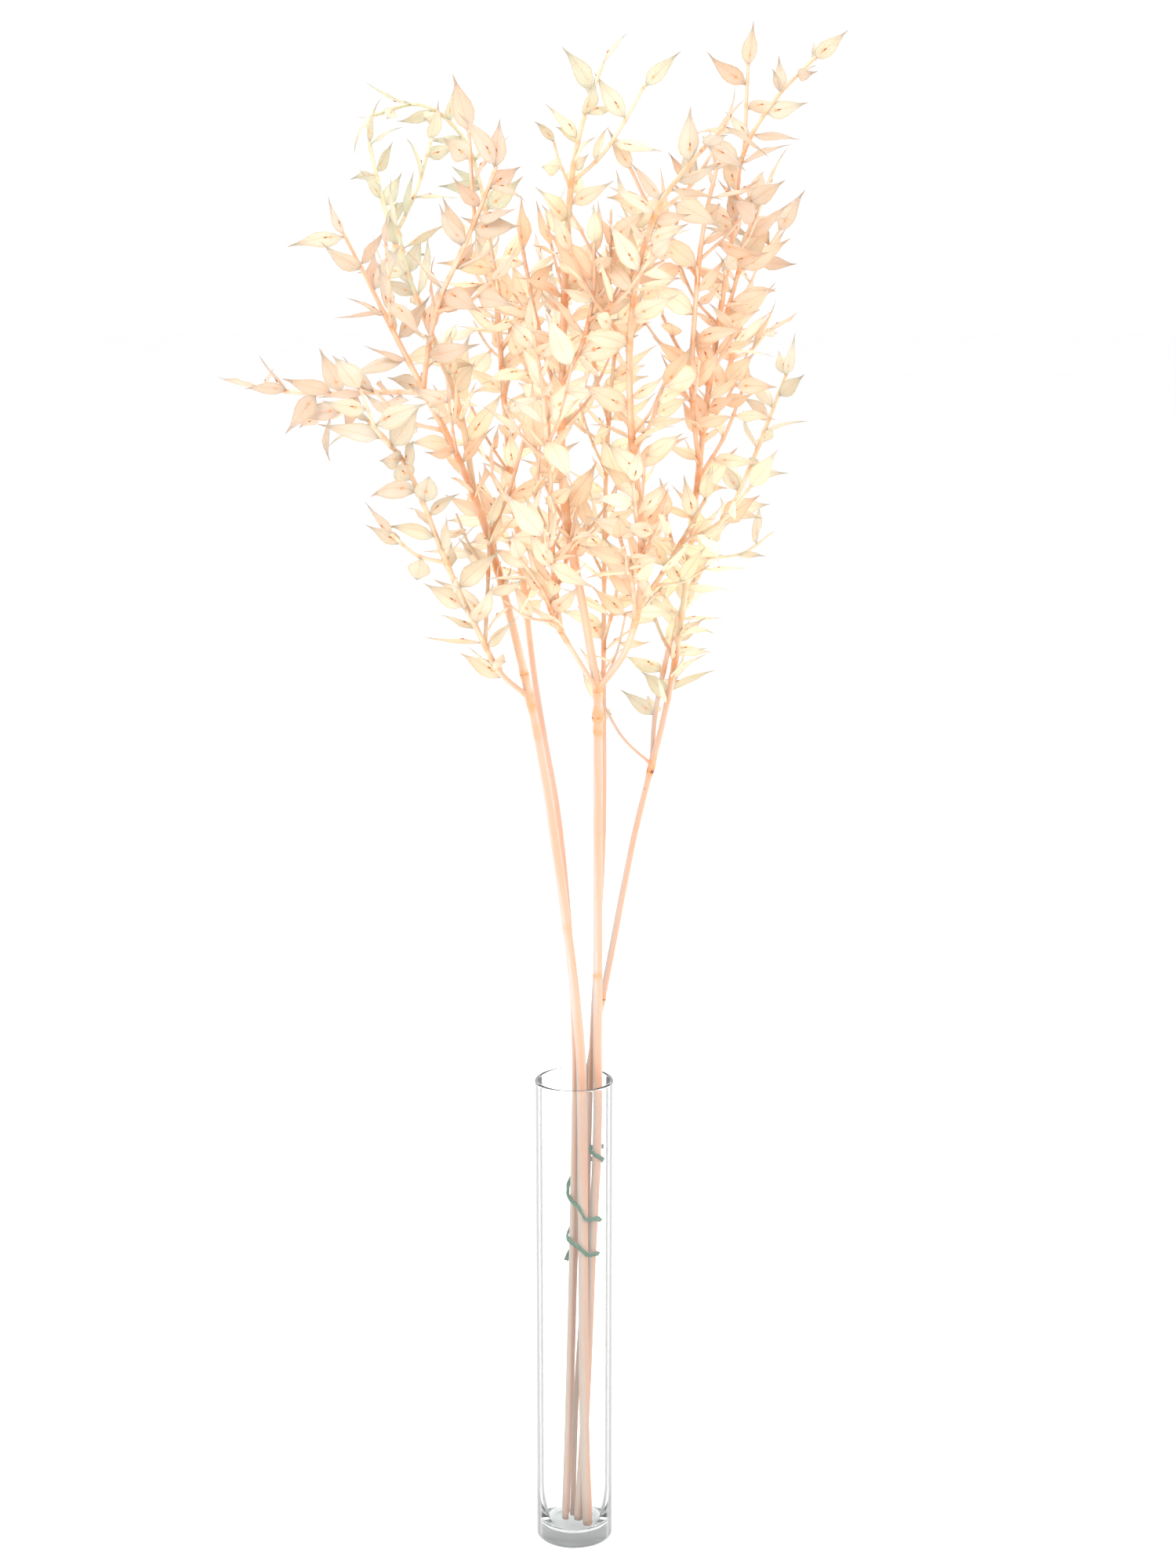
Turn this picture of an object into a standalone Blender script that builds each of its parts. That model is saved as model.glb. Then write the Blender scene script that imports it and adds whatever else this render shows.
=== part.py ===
"""Five dried ruscus stems standing in a slim clear glass cylinder vase, in metres, +Z up.

The origin is the centre of the vase's foot. +X runs to the right and +Y away from the viewer.
"""

import math
import random
from collections import defaultdict
from dataclasses import dataclass, replace

import bmesh
import bpy
from mathutils import Quaternion, Vector
from mathutils.bvhtree import BVHTree
from mathutils.geometry import intersect_point_line

# The glass vase: a straight cylinder with a thick floor and a rounded inner corner
VASE_HEIGHT = 0.250
VASE_RADIUS = 0.020
VASE_WALL = 0.0020
VASE_FLOOR = 0.0070
FLOOR_FLAT_RADIUS = 0.0134
CORNER_HEIGHT = 0.030
FOOT_BEVEL = 0.0012
VASE_STEPS = 32
CORNER_STEPS = 4
RIM_STEPS = 3

# What touches keeps this much air
GAP = 0.0003
FOOT_HEIGHT = VASE_FLOOR + 2 * GAP

# The blades, which are flattened side shoots with a rib and a drawn-out point
BLADE_LENGTH = (0.023, 0.035)
BLADE_WIDTH_SHARE = (0.33, 0.44)
BLADE_THICKNESS = 0.0011
BLADE_SPACING = 0.0117
BLADE_BEND = (-0.35, 0.95)
BLADE_TWIST = (-0.40, 0.40)
BLADE_FOLD = (0.05, 0.25)
BLADE_LEAN = (0.70, 1.20)
BLADE_ROLL = (0.30, 1.45)
TIP_LEAN = (0.05, 0.40)
TIP_SHRINK = 0.22
TIP_SINK = 0.0015
ROOT_SINK = 0.0006
LOWER_RING = (0.27, 0.97)
UPPER_RING = (0.60, 0.75)
BLADE_ROOM = 0.0005
BLADE_TRIES = 18
TRY_SWING = 0.25
TRY_SHRINK = 0.015
BLADE_START = (0.2, 0.8)
BLADE_END = 0.6
NO_BLADES = 1.0

# The short twigs that fill out each leafy branch
TWIG_SPACING = 0.052
TWIG_LENGTH = (0.030, 0.052)
TWIG_RADIUS = (0.0009, 0.0007)
TWIG_LEAN = (0.65, 0.95)
TWIG_RISE = 0.25
TWIG_BARE = 0.008
TWIG_ROOM = 0.0012
TWIG_TRIES = 10
TWIG_START = 0.5
TWIG_END = 0.4
TWIG_RETRY_TURN = 0.7

# What both share: how far spacings and turns stray, as shares and in radians
SPACING_STRAY = (0.85, 1.15)
TURN_STRAY = 0.6
SWING_STRAY = 0.5
UPRIGHT = 0.05
STRAIGHT = 1e-4

# How branches are drawn as tubes
STEM_STEP = 0.028
BRANCH_STEP = 0.023
TAPER_POWER = 3.0
CURVE_PARTS = 12
LONG_STEM = 0.400
STEM_SIDES = 6
BRANCH_SIDES = 4
SHELL_SHARE = 1.2
MERGE = 1e-6
GOLDEN_TURN = math.radians(137.5)
CELL = 0.040

# The doubled twine that ties the stems together inside the vase
TWINE_RADIUS = 0.0009
TWINE_STEP = math.radians(24)
TWINE_LEVELS = (0.2135, 0.2115, 0.2040, 0.1780, 0.1690, 0.1560, 0.1525)
TWINE_ROUND_ONE = 1
TWINE_START = math.radians(20)
TWINE_TURNS = 3.45
TWINE_SIDES = 6
HALVINGS = 30


@dataclass(frozen=True)
class Branch:
    """A woody run: its route from root to tip, its two radii, the bare length at its root.

    twiggy is the share of its length that bears twigs.
    """

    route: tuple
    root_radius: float
    tip_radius: float
    bare: float
    twiggy: float = 1.0


@dataclass(frozen=True)
class Blade:
    """One leaf blade: where it grows, the way it points and faces, and its own shape."""

    root: Vector
    forward: Vector
    normal: Vector
    length: float
    width: float
    bend: float
    twist: float
    fold: float


LEFT_STEM = (
    Branch(
        (
            (0.007, -0.008, FOOT_HEIGHT),
            (0.005, -0.005, 0.075),
            (0.004, -0.005, 0.240),
            (0.001, -0.006, 0.292),
            (-0.010, -0.012, 0.382),
            (-0.022, -0.020, 0.454),
            (-0.046, -0.030, 0.547),
            (-0.077, -0.034, 0.613),
            (-0.106, -0.038, 0.672),
        ),
        0.0026,
        0.0008,
        0.500,
    ),
    Branch(
        (
            (-0.021, -0.019, 0.448),
            (-0.034, -0.028, 0.462),
            (-0.056, -0.050, 0.512),
            (-0.076, -0.061, 0.565),
            (-0.094, -0.064, 0.588),
        ),
        0.0013,
        0.0008,
        0.016,
    ),
    Branch(
        (
            (-0.068, -0.033, 0.596),
            (-0.085, -0.026, 0.598),
            (-0.124, -0.008, 0.596),
            (-0.153, 0.008, 0.598),
        ),
        0.0012,
        0.0008,
        0.012,
    ),
    Branch(
        (
            (-0.070, -0.033, 0.602),
            (-0.062, -0.047, 0.640),
            (-0.047, -0.062, 0.671),
            (-0.034, -0.068, 0.702),
        ),
        0.0012,
        0.0008,
        0.012,
    ),
    Branch(
        (
            (-0.047, -0.030, 0.550),
            (-0.054, -0.014, 0.588),
            (-0.072, 0.010, 0.632),
            (-0.089, 0.026, 0.674),
            (-0.099, 0.034, 0.714),
        ),
        0.0014,
        0.0008,
        0.016,
    ),
)

LEFT_REAR_STEM = (
    Branch(
        (
            (-0.005, -0.0025, FOOT_HEIGHT),
            (-0.003, 0.0005, 0.075),
            (0.000, 0.0005, 0.206),
            (0.000, 0.002, 0.281),
            (-0.007, 0.012, 0.376),
            (-0.020, 0.026, 0.454),
            (-0.034, 0.056, 0.576),
            (-0.040, 0.072, 0.650),
            (-0.050, 0.076, 0.705),
            (-0.069, 0.070, 0.731),
            (-0.098, 0.052, 0.727),
        ),
        0.0018,
        0.0008,
        0.470,
        twiggy=0.83,
    ),
    Branch(
        (
            (-0.026, 0.039, 0.504),
            (-0.034, 0.050, 0.519),
            (-0.048, 0.066, 0.531),
        ),
        0.0010,
        0.0008,
        0.010,
    ),
    Branch(
        (
            (-0.036, 0.060, 0.592),
            (-0.031, 0.078, 0.616),
            (-0.044, 0.098, 0.652),
        ),
        0.0010,
        0.0008,
        0.012,
    ),
)

CENTRE_STEM = (
    Branch(
        (
            (0.002, -0.003, FOOT_HEIGHT),
            (0.006, 0.0002, 0.075),
            (0.009, 0.0002, 0.155),
            (0.0118, 0.0002, 0.215),
            (0.012, 0.000, 0.260),
            (0.012, -0.005, 0.364),
            (0.012, -0.010, 0.456),
        ),
        0.0024,
        0.0022,
        NO_BLADES,
        twiggy=0.0,
    ),
    Branch(
        (
            (0.012, -0.010, 0.452),
            (0.005, -0.013, 0.492),
            (-0.005, -0.017, 0.555),
            (-0.004, -0.020, 0.640),
            (0.001, -0.018, 0.707),
            (0.014, -0.010, 0.749),
        ),
        0.0020,
        0.0008,
        0.055,
    ),
    Branch(
        (
            (0.012, -0.010, 0.452),
            (-0.006, -0.028, 0.484),
            (-0.015, -0.042, 0.507),
            (-0.025, -0.053, 0.523),
        ),
        0.0012,
        0.0008,
        0.030,
    ),
    Branch(
        (
            (-0.006, -0.028, 0.484),
            (-0.010, -0.046, 0.528),
            (-0.011, -0.060, 0.583),
            (-0.018, -0.066, 0.628),
        ),
        0.0012,
        0.0008,
        0.020,
    ),
    Branch(
        (
            (-0.004, -0.018, 0.590),
            (-0.016, -0.008, 0.624),
            (-0.024, -0.002, 0.664),
        ),
        0.0010,
        0.0008,
        0.012,
    ),
    Branch(
        (
            (-0.004, -0.020, 0.600),
            (0.008, -0.036, 0.632),
            (0.010, -0.050, 0.668),
        ),
        0.0010,
        0.0008,
        0.012,
    ),
    Branch(
        (
            (0.012, -0.010, 0.453),
            (0.028, -0.016, 0.479),
            (0.033, -0.024, 0.524),
            (0.027, -0.034, 0.588),
            (0.028, -0.042, 0.640),
            (0.040, -0.050, 0.685),
            (0.069, -0.056, 0.720),
        ),
        0.0016,
        0.0008,
        0.050,
    ),
    Branch(
        (
            (0.031, -0.018, 0.488),
            (0.028, -0.032, 0.510),
            (0.022, -0.046, 0.532),
        ),
        0.0010,
        0.0008,
        0.010,
    ),
    Branch(
        (
            (0.033, -0.019, 0.492),
            (0.049, -0.008, 0.519),
            (0.064, 0.002, 0.544),
        ),
        0.0011,
        0.0008,
        0.014,
    ),
)

REAR_STEM = (
    Branch(
        (
            (-0.001, 0.0015, FOOT_HEIGHT),
            (0.001, 0.0045, 0.075),
            (0.006, 0.0045, 0.155),
            (0.008, 0.0046, 0.230),
            (0.010, 0.006, 0.288),
            (0.015, 0.014, 0.376),
            (0.015, 0.032, 0.477),
            (0.017, 0.054, 0.569),
            (0.025, 0.068, 0.655),
        ),
        0.0014,
        0.0008,
        0.440,
    ),
    Branch(
        (
            (0.023, 0.064, 0.625),
            (0.030, 0.074, 0.640),
            (0.032, 0.090, 0.678),
        ),
        0.0010,
        0.0008,
        0.012,
    ),
    Branch(
        (
            (0.018, 0.056, 0.576),
            (0.010, 0.074, 0.606),
            (0.009, 0.098, 0.660),
        ),
        0.0010,
        0.0008,
        0.012,
    ),
)

RIGHT_STEM = (
    Branch(
        (
            (-0.0045, 0.005, FOOT_HEIGHT),
            (-0.002, 0.0083, 0.075),
            (0.001, 0.0083, 0.173),
            (0.007, 0.0084, 0.247),
            (0.017, 0.010, 0.303),
            (0.031, 0.015, 0.376),
            (0.046, 0.020, 0.437),
            (0.055, 0.020, 0.494),
            (0.065, 0.014, 0.590),
            (0.076, 0.002, 0.670),
            (0.083, -0.006, 0.716),
            (0.113, -0.012, 0.752),
        ),
        0.0018,
        0.0008,
        0.430,
    ),
    Branch(
        (
            (0.039, 0.018, 0.409),
            (0.041, 0.030, 0.432),
            (0.054, 0.054, 0.481),
            (0.086, 0.080, 0.542),
            (0.109, 0.094, 0.598),
        ),
        0.0013,
        0.0008,
        0.020,
        twiggy=0.0,
    ),
    Branch(
        (
            (0.038, 0.018, 0.407),
            (0.028, 0.015, 0.418),
            (0.018, 0.011, 0.436),
            (0.014, 0.009, 0.443),
        ),
        0.0008,
        0.0007,
        0.030,
        twiggy=0.0,
    ),
    Branch(
        (
            (0.062, 0.016, 0.560),
            (0.057, 0.000, 0.600),
            (0.060, -0.018, 0.665),
            (0.067, -0.026, 0.702),
        ),
        0.0012,
        0.0008,
        0.014,
    ),
    Branch(
        (
            (0.064, 0.014, 0.580),
            (0.075, 0.028, 0.602),
            (0.086, 0.048, 0.637),
        ),
        0.0010,
        0.0008,
        0.012,
    ),
    Branch(
        (
            (0.068, 0.010, 0.618),
            (0.078, 0.020, 0.645),
            (0.088, 0.026, 0.684),
        ),
        0.0010,
        0.0008,
        0.012,
    ),
)

STEMS = {
    "stem_left": LEFT_STEM,
    "stem_left_rear": LEFT_REAR_STEM,
    "stem_centre": CENTRE_STEM,
    "stem_rear": REAR_STEM,
    "stem_right": RIGHT_STEM,
}
FIRST_SEED = 41
FIRST_BLADE_SEED = 141

# Colours as linear RGB, and roughness
PEACH = ((0.87, 0.60, 0.38), 0.62)
CLEAR = ((0.93, 0.95, 0.95), 0.03)
GREEN = ((0.14, 0.36, 0.22), 0.85)
SHARP_ANGLE = math.radians(35)


def clear_scene():
    """Removes what a new scene starts with."""
    for thing in list(bpy.data.objects):
        bpy.data.objects.remove(thing, do_unlink=True)


def collection(name, hidden=False):
    """A new collection in the scene."""
    made = bpy.data.collections.new(name)
    made.hide_render = hidden
    bpy.context.scene.collection.children.link(made)
    return made


def finish(name, colour, roughness):
    """A Principled material."""
    made = bpy.data.materials.new(name)
    made.use_nodes = True
    shader = made.node_tree.nodes["Principled BSDF"]
    shader.inputs["Base Color"].default_value = (*colour, 1.0)
    shader.inputs["Roughness"].default_value = roughness
    shader.inputs["Metallic"].default_value = 0.0
    return made


# Curves and tubes


def smooth_points(route):
    """Close points on one smooth curve through a few given ones."""
    points = [Vector(p) for p in route]
    ends = [2 * points[0] - points[1], *points, 2 * points[-1] - points[-2]]
    close = []
    for a, b, c, d in zip(ends, ends[1:], ends[2:], ends[3:]):
        for part in range(CURVE_PARTS):
            t = part / CURVE_PARTS
            bow = (2 * a - 5 * b + 4 * c - d) * t * t + (3 * b - a - 3 * c + d) * t**3
            close.append(b + 0.5 * ((c - a) * t + bow))
    close.append(points[-1])
    return close


class Run:
    """A line of points, read by the distance along it."""

    def __init__(self, points):
        self.points = points
        self.distances = [0.0]
        for before, after in zip(points, points[1:]):
            self.distances.append(self.distances[-1] + (after - before).length)
        self.length = self.distances[-1]

    def at(self, distance):
        """The point at this distance and the direction there."""
        index = 1
        while index < len(self.points) - 1 and self.distances[index] < distance:
            index += 1
        before, after = self.points[index - 1], self.points[index]
        span = self.distances[index] - self.distances[index - 1]
        share = (distance - self.distances[index - 1]) / span
        return before.lerp(after, share), (after - before).normalized()


def wood_run(branch):
    """A branch's line with a point at each ring of its tube."""
    curve = Run(smooth_points(branch.route))
    step = STEM_STEP if curve.length > LONG_STEM else BRANCH_STEP
    count = max(2, round(curve.length / step))
    return Run([curve.at(curve.length * i / count)[0] for i in range(count + 1)])


def rooted(branch, parents):
    """The branch with its first point moved onto the nearest line of the wood it grows from."""
    root = Vector(branch.route[0])
    nearest = None
    for parent in parents:
        points = wood_run(parent).points
        for low, high in zip(points, points[1:]):
            foot, share = intersect_point_line(root, low, high)
            foot = low.lerp(high, min(max(share, 0.0), 1.0))
            if nearest is None or (foot - root).length < (nearest - root).length:
                nearest = foot
    return replace(branch, route=(nearest, *branch.route[1:]))


def radius_at(branch, share):
    """The radius of a branch, which tapers slowly at first."""
    return branch.root_radius + (branch.tip_radius - branch.root_radius) * share**TAPER_POWER


def tube(name, points, radii, sides):
    """A closed tube as a mesh object, made from a bevelled curve with 4, 6 or 8 sides."""
    data = bpy.data.curves.new(name, "CURVE")
    data.dimensions = "3D"
    data.bevel_depth = 1.0
    data.bevel_resolution = sides // 2 - 2
    data.use_fill_caps = True
    spline = data.splines.new("POLY")
    spline.points.add(len(points) - 1)
    for knot, point, radius in zip(spline.points, points, radii):
        knot.co = (*point, 1.0)
        knot.radius = radius
    curve = bpy.data.objects.new(name, data)
    bpy.context.scene.collection.objects.link(curve)
    graph = bpy.context.evaluated_depsgraph_get()
    mesh = bpy.data.meshes.new_from_object(curve.evaluated_get(graph))
    bpy.data.objects.remove(curve)
    bpy.data.curves.remove(data)
    shape = bmesh.new()
    shape.from_mesh(mesh)
    bmesh.ops.remove_doubles(shape, verts=shape.verts, dist=MERGE)
    bmesh.ops.recalc_face_normals(shape, faces=shape.faces)
    shape.to_mesh(mesh)
    shape.free()
    return bpy.data.objects.new(name, mesh)


def branch_tube(name, branch, sides):
    """The wood of one branch."""
    run = wood_run(branch)
    radii = [radius_at(branch, distance / run.length) for distance in run.distances]
    return tube(name, run.points, radii, sides)


# The blade


def blade_template():
    """A pointed blade of few faces: two edges and a rib under them, cut alike on both sides.

    X runs across it, Y towards its rib and Z from its root to its tip.
    """
    shape = bmesh.new()
    bmesh.ops.create_uvsphere(shape, u_segments=3, v_segments=3, radius=1.0)
    for face in [f for f in shape.faces if len(f.verts) == 4]:
        low = max((v for v in face.verts if v.co.z < 0), key=lambda v: abs(v.co.x))
        high = max((v for v in face.verts if v.co.z > 0), key=lambda v: abs(v.co.x - low.co.x))
        bmesh.utils.face_split(face, low, high)
    shape.faces.index_update()
    return shape


def template_places(shape):
    """Each template vertex as its share along, its breadth, and -1, 0 or 1 for edge, rib or edge."""
    places = []
    for vertex in shape.verts:
        across = round(vertex.co.x)
        if abs(vertex.co.z) > 0.9:
            places.append((0.0 if vertex.co.z < 0 else 1.0, 0.0, 0))
        elif vertex.co.z < 0:
            places.append((*LOWER_RING, across))
        else:
            places.append((*UPPER_RING, across))
    return places


def blade_points(blade, places, room=0.0):
    """The template's vertices as they lie on one blade, grown by room on every side."""
    side = blade.normal.cross(blade.forward)
    points = []
    for share, broad, across in places:
        turn = blade.bend * share
        reach = blade.length * share + room * (share - 0.5) * 2
        if abs(blade.bend) > STRAIGHT:
            ahead = reach * math.sin(turn) / turn if share else reach
            rise = reach * (1 - math.cos(turn)) / turn if share else 0.0
        else:
            ahead, rise = reach, 0.0
        normal = blade.normal * math.cos(turn) - blade.forward * math.sin(turn)
        half = blade.width / 2 * broad
        twist = blade.twist * share
        flat = side * math.cos(twist) + normal * math.sin(twist)
        up = normal * math.cos(twist) - side * math.sin(twist)
        point = blade.root + blade.forward * ahead + blade.normal * rise
        point += flat * across * (half + room)
        if broad:
            depth = BLADE_THICKNESS / 2 + room + blade.fold * half / 2
            point += up * (-depth if across else depth)
        points.append(point)
    return points


def blade_object(name, blade, template, places):
    """One blade as a closed solid."""
    shape = template.copy()
    for vertex, point in zip(shape.verts, blade_points(blade, places)):
        vertex.co = point
    mesh = bpy.data.meshes.new(name)
    shape.to_mesh(mesh)
    shape.free()
    return bpy.data.objects.new(name, mesh)


# Keeping pieces clear of each other


class Crowd:
    """What has been placed so far, by owner, for keeping new pieces clear of it."""

    def __init__(self):
        self.cells = defaultdict(list)

    def cells_of(self, points):
        """The cells of the grid that a shape's box touches."""
        low = [math.floor(min(p[k] for p in points) / CELL) for k in range(3)]
        high = [math.floor(max(p[k] for p in points) / CELL) for k in range(3)]
        for x in range(low[0], high[0] + 1):
            for y in range(low[1], high[1] + 1):
                for z in range(low[2], high[2] + 1):
                    yield x, y, z

    def add(self, owner, points, faces):
        """Notes a placed shape."""
        entry = (owner, BVHTree.FromPolygons(points, faces))
        for cell in self.cells_of(points):
            self.cells[cell].append(entry)

    def meets(self, points, faces, owner, own):
        """Whether a shape cuts into the owner's own pieces, or else into anyone else's."""
        tree = BVHTree.FromPolygons(points, faces)
        seen = set()
        for cell in self.cells_of(points):
            for entry in self.cells[cell]:
                if (entry[0] == owner) == own and id(entry) not in seen:
                    seen.add(id(entry))
                    if tree.overlap(entry[1]):
                        return True
        return False


def tube_shell(branch, room):
    """A square tube round a branch, in short pieces, for testing clearance."""
    run = wood_run(branch)
    rings = []
    for distance in run.distances:
        point, direction = run.at(distance)
        radius = radius_at(branch, distance / run.length) + room
        across = direction.orthogonal().normalized()
        corners = []
        for quarter in range(4):
            corner = Quaternion(direction, quarter * math.pi / 2) @ across
            corners.append(point + corner * radius * SHELL_SHARE)
        rings.append(corners)
    faces = [(k, (k + 1) % 4, (k + 1) % 4 + 4, k + 4) for k in range(4)]
    faces += [(0, 1, 2, 3), (4, 5, 6, 7)]
    for low, high in zip(rings, rings[1:]):
        yield low + high, faces


def add_branch(crowd, owner, branch):
    """Notes a branch's wood in the crowd."""
    for points, faces in tube_shell(branch, 0.0):
        crowd.add(owner, points, faces)


def branch_is_clear(crowd, owner, branch):
    """Whether a branch keeps clear of every other stem's pieces."""
    shells = tube_shell(branch, TWIG_ROOM)
    return not any(crowd.meets(points, faces, owner, own=False) for points, faces in shells)


# The growing rules


def outward(direction, azimuth):
    """A direction square to the branch, turned round it by the azimuth."""
    across = direction.cross(Vector((0, 0, 1)))
    if across.length < UPRIGHT:
        across = direction.orthogonal()
    return Quaternion(direction, azimuth) @ across.normalized()


def grow_twigs(draw, crowd, owner, branch):
    """Short twigs along a branch, turned by the golden angle and kept clear of other stems."""
    run = wood_run(branch)
    distance = branch.bare + TWIG_SPACING * TWIG_START
    azimuth = draw.uniform(0, math.tau)
    while distance < run.length * branch.twiggy - TWIG_SPACING * TWIG_END:
        azimuth += GOLDEN_TURN
        for _ in range(TWIG_TRIES):
            root, direction = run.at(distance)
            out = outward(direction, azimuth + draw.uniform(-TURN_STRAY, TURN_STRAY))
            lean = draw.uniform(*TWIG_LEAN)
            heading = direction * math.cos(lean) + out * math.sin(lean)
            length = draw.uniform(*TWIG_LENGTH)
            middle = root + heading * length * 0.5
            tip = root + heading * length + Vector((0, 0, TWIG_RISE * length))
            twig = Branch((root, middle, tip), *TWIG_RADIUS, TWIG_BARE, twiggy=0.0)
            if branch_is_clear(crowd, owner, twig):
                add_branch(crowd, owner, twig)
                yield twig
                break
            azimuth += TWIG_RETRY_TURN
        distance += TWIG_SPACING * draw.uniform(*SPACING_STRAY)


def drawn_blade(draw, root, direction, azimuth, lean, size):
    """A blade that leaves a branch at this azimuth and lean, with its own random shape."""
    out = outward(direction, azimuth)
    forward = (direction * math.cos(lean) + out * math.sin(lean)).normalized()
    facing = direction * math.sin(lean) - out * math.cos(lean)
    roll = draw.uniform(*BLADE_ROLL) * draw.choice((-1, 1))
    normal = Quaternion(forward, roll) @ facing.normalized()
    length = draw.uniform(*BLADE_LENGTH) * size
    width = length * draw.uniform(*BLADE_WIDTH_SHARE)
    bend = -draw.uniform(*BLADE_BEND)
    twist = draw.uniform(*BLADE_TWIST)
    fold = draw.uniform(*BLADE_FOLD)
    return Blade(root - forward * ROOT_SINK, forward, normal, length, width, bend, twist, fold)


def blade_distances(draw, branch, length):
    """Where blades grow along a branch: its tip first, then from its root up."""
    yield length - TIP_SINK
    distance = branch.bare + draw.uniform(*BLADE_START) * BLADE_SPACING
    while distance < length - BLADE_END * BLADE_SPACING:
        yield distance
        distance += BLADE_SPACING * draw.uniform(*SPACING_STRAY)


def grow_blades(draw, crowd, owner, branch, places, faces, far_faces):
    """Blades along a branch, on alternate sides, and one at its tip."""
    if branch.bare >= NO_BLADES:
        return
    run = wood_run(branch)
    azimuth = draw.uniform(0, math.tau)
    for number, distance in enumerate(list(blade_distances(draw, branch, run.length))):
        root, direction = run.at(distance)
        azimuth += math.pi + draw.uniform(-TURN_STRAY, TURN_STRAY)
        size = 1.0 - TIP_SHRINK * (distance / run.length) ** 2
        for attempt in range(BLADE_TRIES):
            lean = draw.uniform(*(BLADE_LEAN if number else TIP_LEAN))
            swing = draw.uniform(-SWING_STRAY, SWING_STRAY) * (1 + TRY_SWING * attempt)
            shrink = 1.0 - TRY_SHRINK * attempt
            blade = drawn_blade(draw, root, direction, azimuth + swing, lean, size * shrink)
            roomy = blade_points(blade, places, BLADE_ROOM)
            if crowd.meets(roomy, faces, owner, own=False):
                continue
            if crowd.meets(roomy, far_faces, owner, own=True):
                continue
            crowd.add(owner, blade_points(blade, places), faces)
            yield blade
            break


def grow_stems(template, places):
    """Every stem's branches and blades, placed by rule so that no two stems cross."""
    faces = [[v.index for v in face.verts] for face in template.faces]
    far_faces = [face for face in faces if all(places[i][0] > 0 for i in face)]
    crowd = Crowd()
    grown = {}
    for name, drawn in STEMS.items():
        branches = [drawn[0]]
        for branch in drawn[1:]:
            branches.append(rooted(branch, branches))
        for branch in branches:
            add_branch(crowd, name, branch)
        grown[name] = (branches, [])
    for number, (name, (branches, _)) in enumerate(grown.items()):
        draw = random.Random(FIRST_SEED + number)
        for branch in list(branches):
            branches += grow_twigs(draw, crowd, name, branch)
    for number, (name, (branches, blades)) in enumerate(grown.items()):
        draw = random.Random(FIRST_BLADE_SEED + number)
        for branch in branches:
            blades += grow_blades(draw, crowd, name, branch, places, faces, far_faces)
    return grown


# The nodes


def leafy_stem(name, branches, blades, template, places, home, material):
    """One stem, its branches and its blades, joined in one closed body."""
    stem = branch_tube(name, branches[0], STEM_SIDES)
    home.objects.link(stem)
    pieces = collection(name + "_pieces", hidden=True)
    for number, branch in enumerate(branches[1:]):
        pieces.objects.link(branch_tube(f"{name}_branch_{number}", branch, BRANCH_SIDES))
    for number, blade in enumerate(blades):
        pieces.objects.link(blade_object(f"{name}_blade_{number}", blade, template, places))
    union = stem.modifiers.new("join", "BOOLEAN")
    union.operation = "UNION"
    union.operand_type = "COLLECTION"
    union.collection = pieces
    union.solver = "MANIFOLD"
    graph = bpy.context.evaluated_depsgraph_get()
    joined = bpy.data.meshes.new_from_object(stem.evaluated_get(graph))
    stem.modifiers.clear()
    stem.data = joined
    for piece in list(pieces.objects):
        bpy.data.objects.remove(piece)
    bpy.data.collections.remove(pieces)
    stem.data.materials.clear()
    stem.data.materials.append(material)
    stem.data.shade_smooth()
    stem.data.set_sharp_from_angle(angle=SHARP_ANGLE)
    return stem


def vase_profile():
    """The vase's section, from the middle of its inner floor over the rim to its foot."""
    inner = VASE_RADIUS - VASE_WALL
    profile = [(0.0, VASE_FLOOR), (FLOOR_FLAT_RADIUS, VASE_FLOOR)]
    for step in range(1, CORNER_STEPS + 1):
        turn = math.pi / 2 * step / CORNER_STEPS
        across = FLOOR_FLAT_RADIUS + (inner - FLOOR_FLAT_RADIUS) * math.sin(turn)
        height = VASE_FLOOR + (CORNER_HEIGHT - VASE_FLOOR) * (1 - math.cos(turn))
        profile.append((across, height))
    rim = VASE_WALL / 2
    for step in range(RIM_STEPS + 1):
        turn = math.pi * (1 - step / RIM_STEPS)
        across = VASE_RADIUS - rim + rim * math.cos(turn)
        profile.append((across, VASE_HEIGHT - rim + rim * math.sin(turn)))
    profile.append((VASE_RADIUS, FOOT_BEVEL))
    profile.append((VASE_RADIUS - FOOT_BEVEL, 0.0))
    profile.append((0.0, 0.0))
    return profile


def glass_vase(home, material):
    """The vase, turned about Z."""
    shape = bmesh.new()
    knots = [shape.verts.new((x, 0.0, z)) for x, z in vase_profile()]
    for low, high in zip(knots, knots[1:]):
        shape.edges.new((low, high))
    mesh = bpy.data.meshes.new("vase")
    shape.to_mesh(mesh)
    shape.free()
    vase = bpy.data.objects.new("vase", mesh)
    home.objects.link(vase)
    turned = vase.modifiers.new("turn", "SCREW")
    turned.steps = VASE_STEPS
    turned.render_steps = VASE_STEPS
    turned.use_merge_vertices = True
    turned.merge_threshold = 0.0001
    mesh.materials.append(material)
    return vase


def stem_at_height(branch, height):
    """The centre and radius of a stem where it passes a height."""
    run = wood_run(branch)
    low, high = 0.0, run.length
    for _ in range(HALVINGS):
        middle = (low + high) / 2
        if run.at(middle)[0].z < height:
            low = middle
        else:
            high = middle
    return run.at(low)[0], radius_at(branch, low / run.length)


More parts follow.
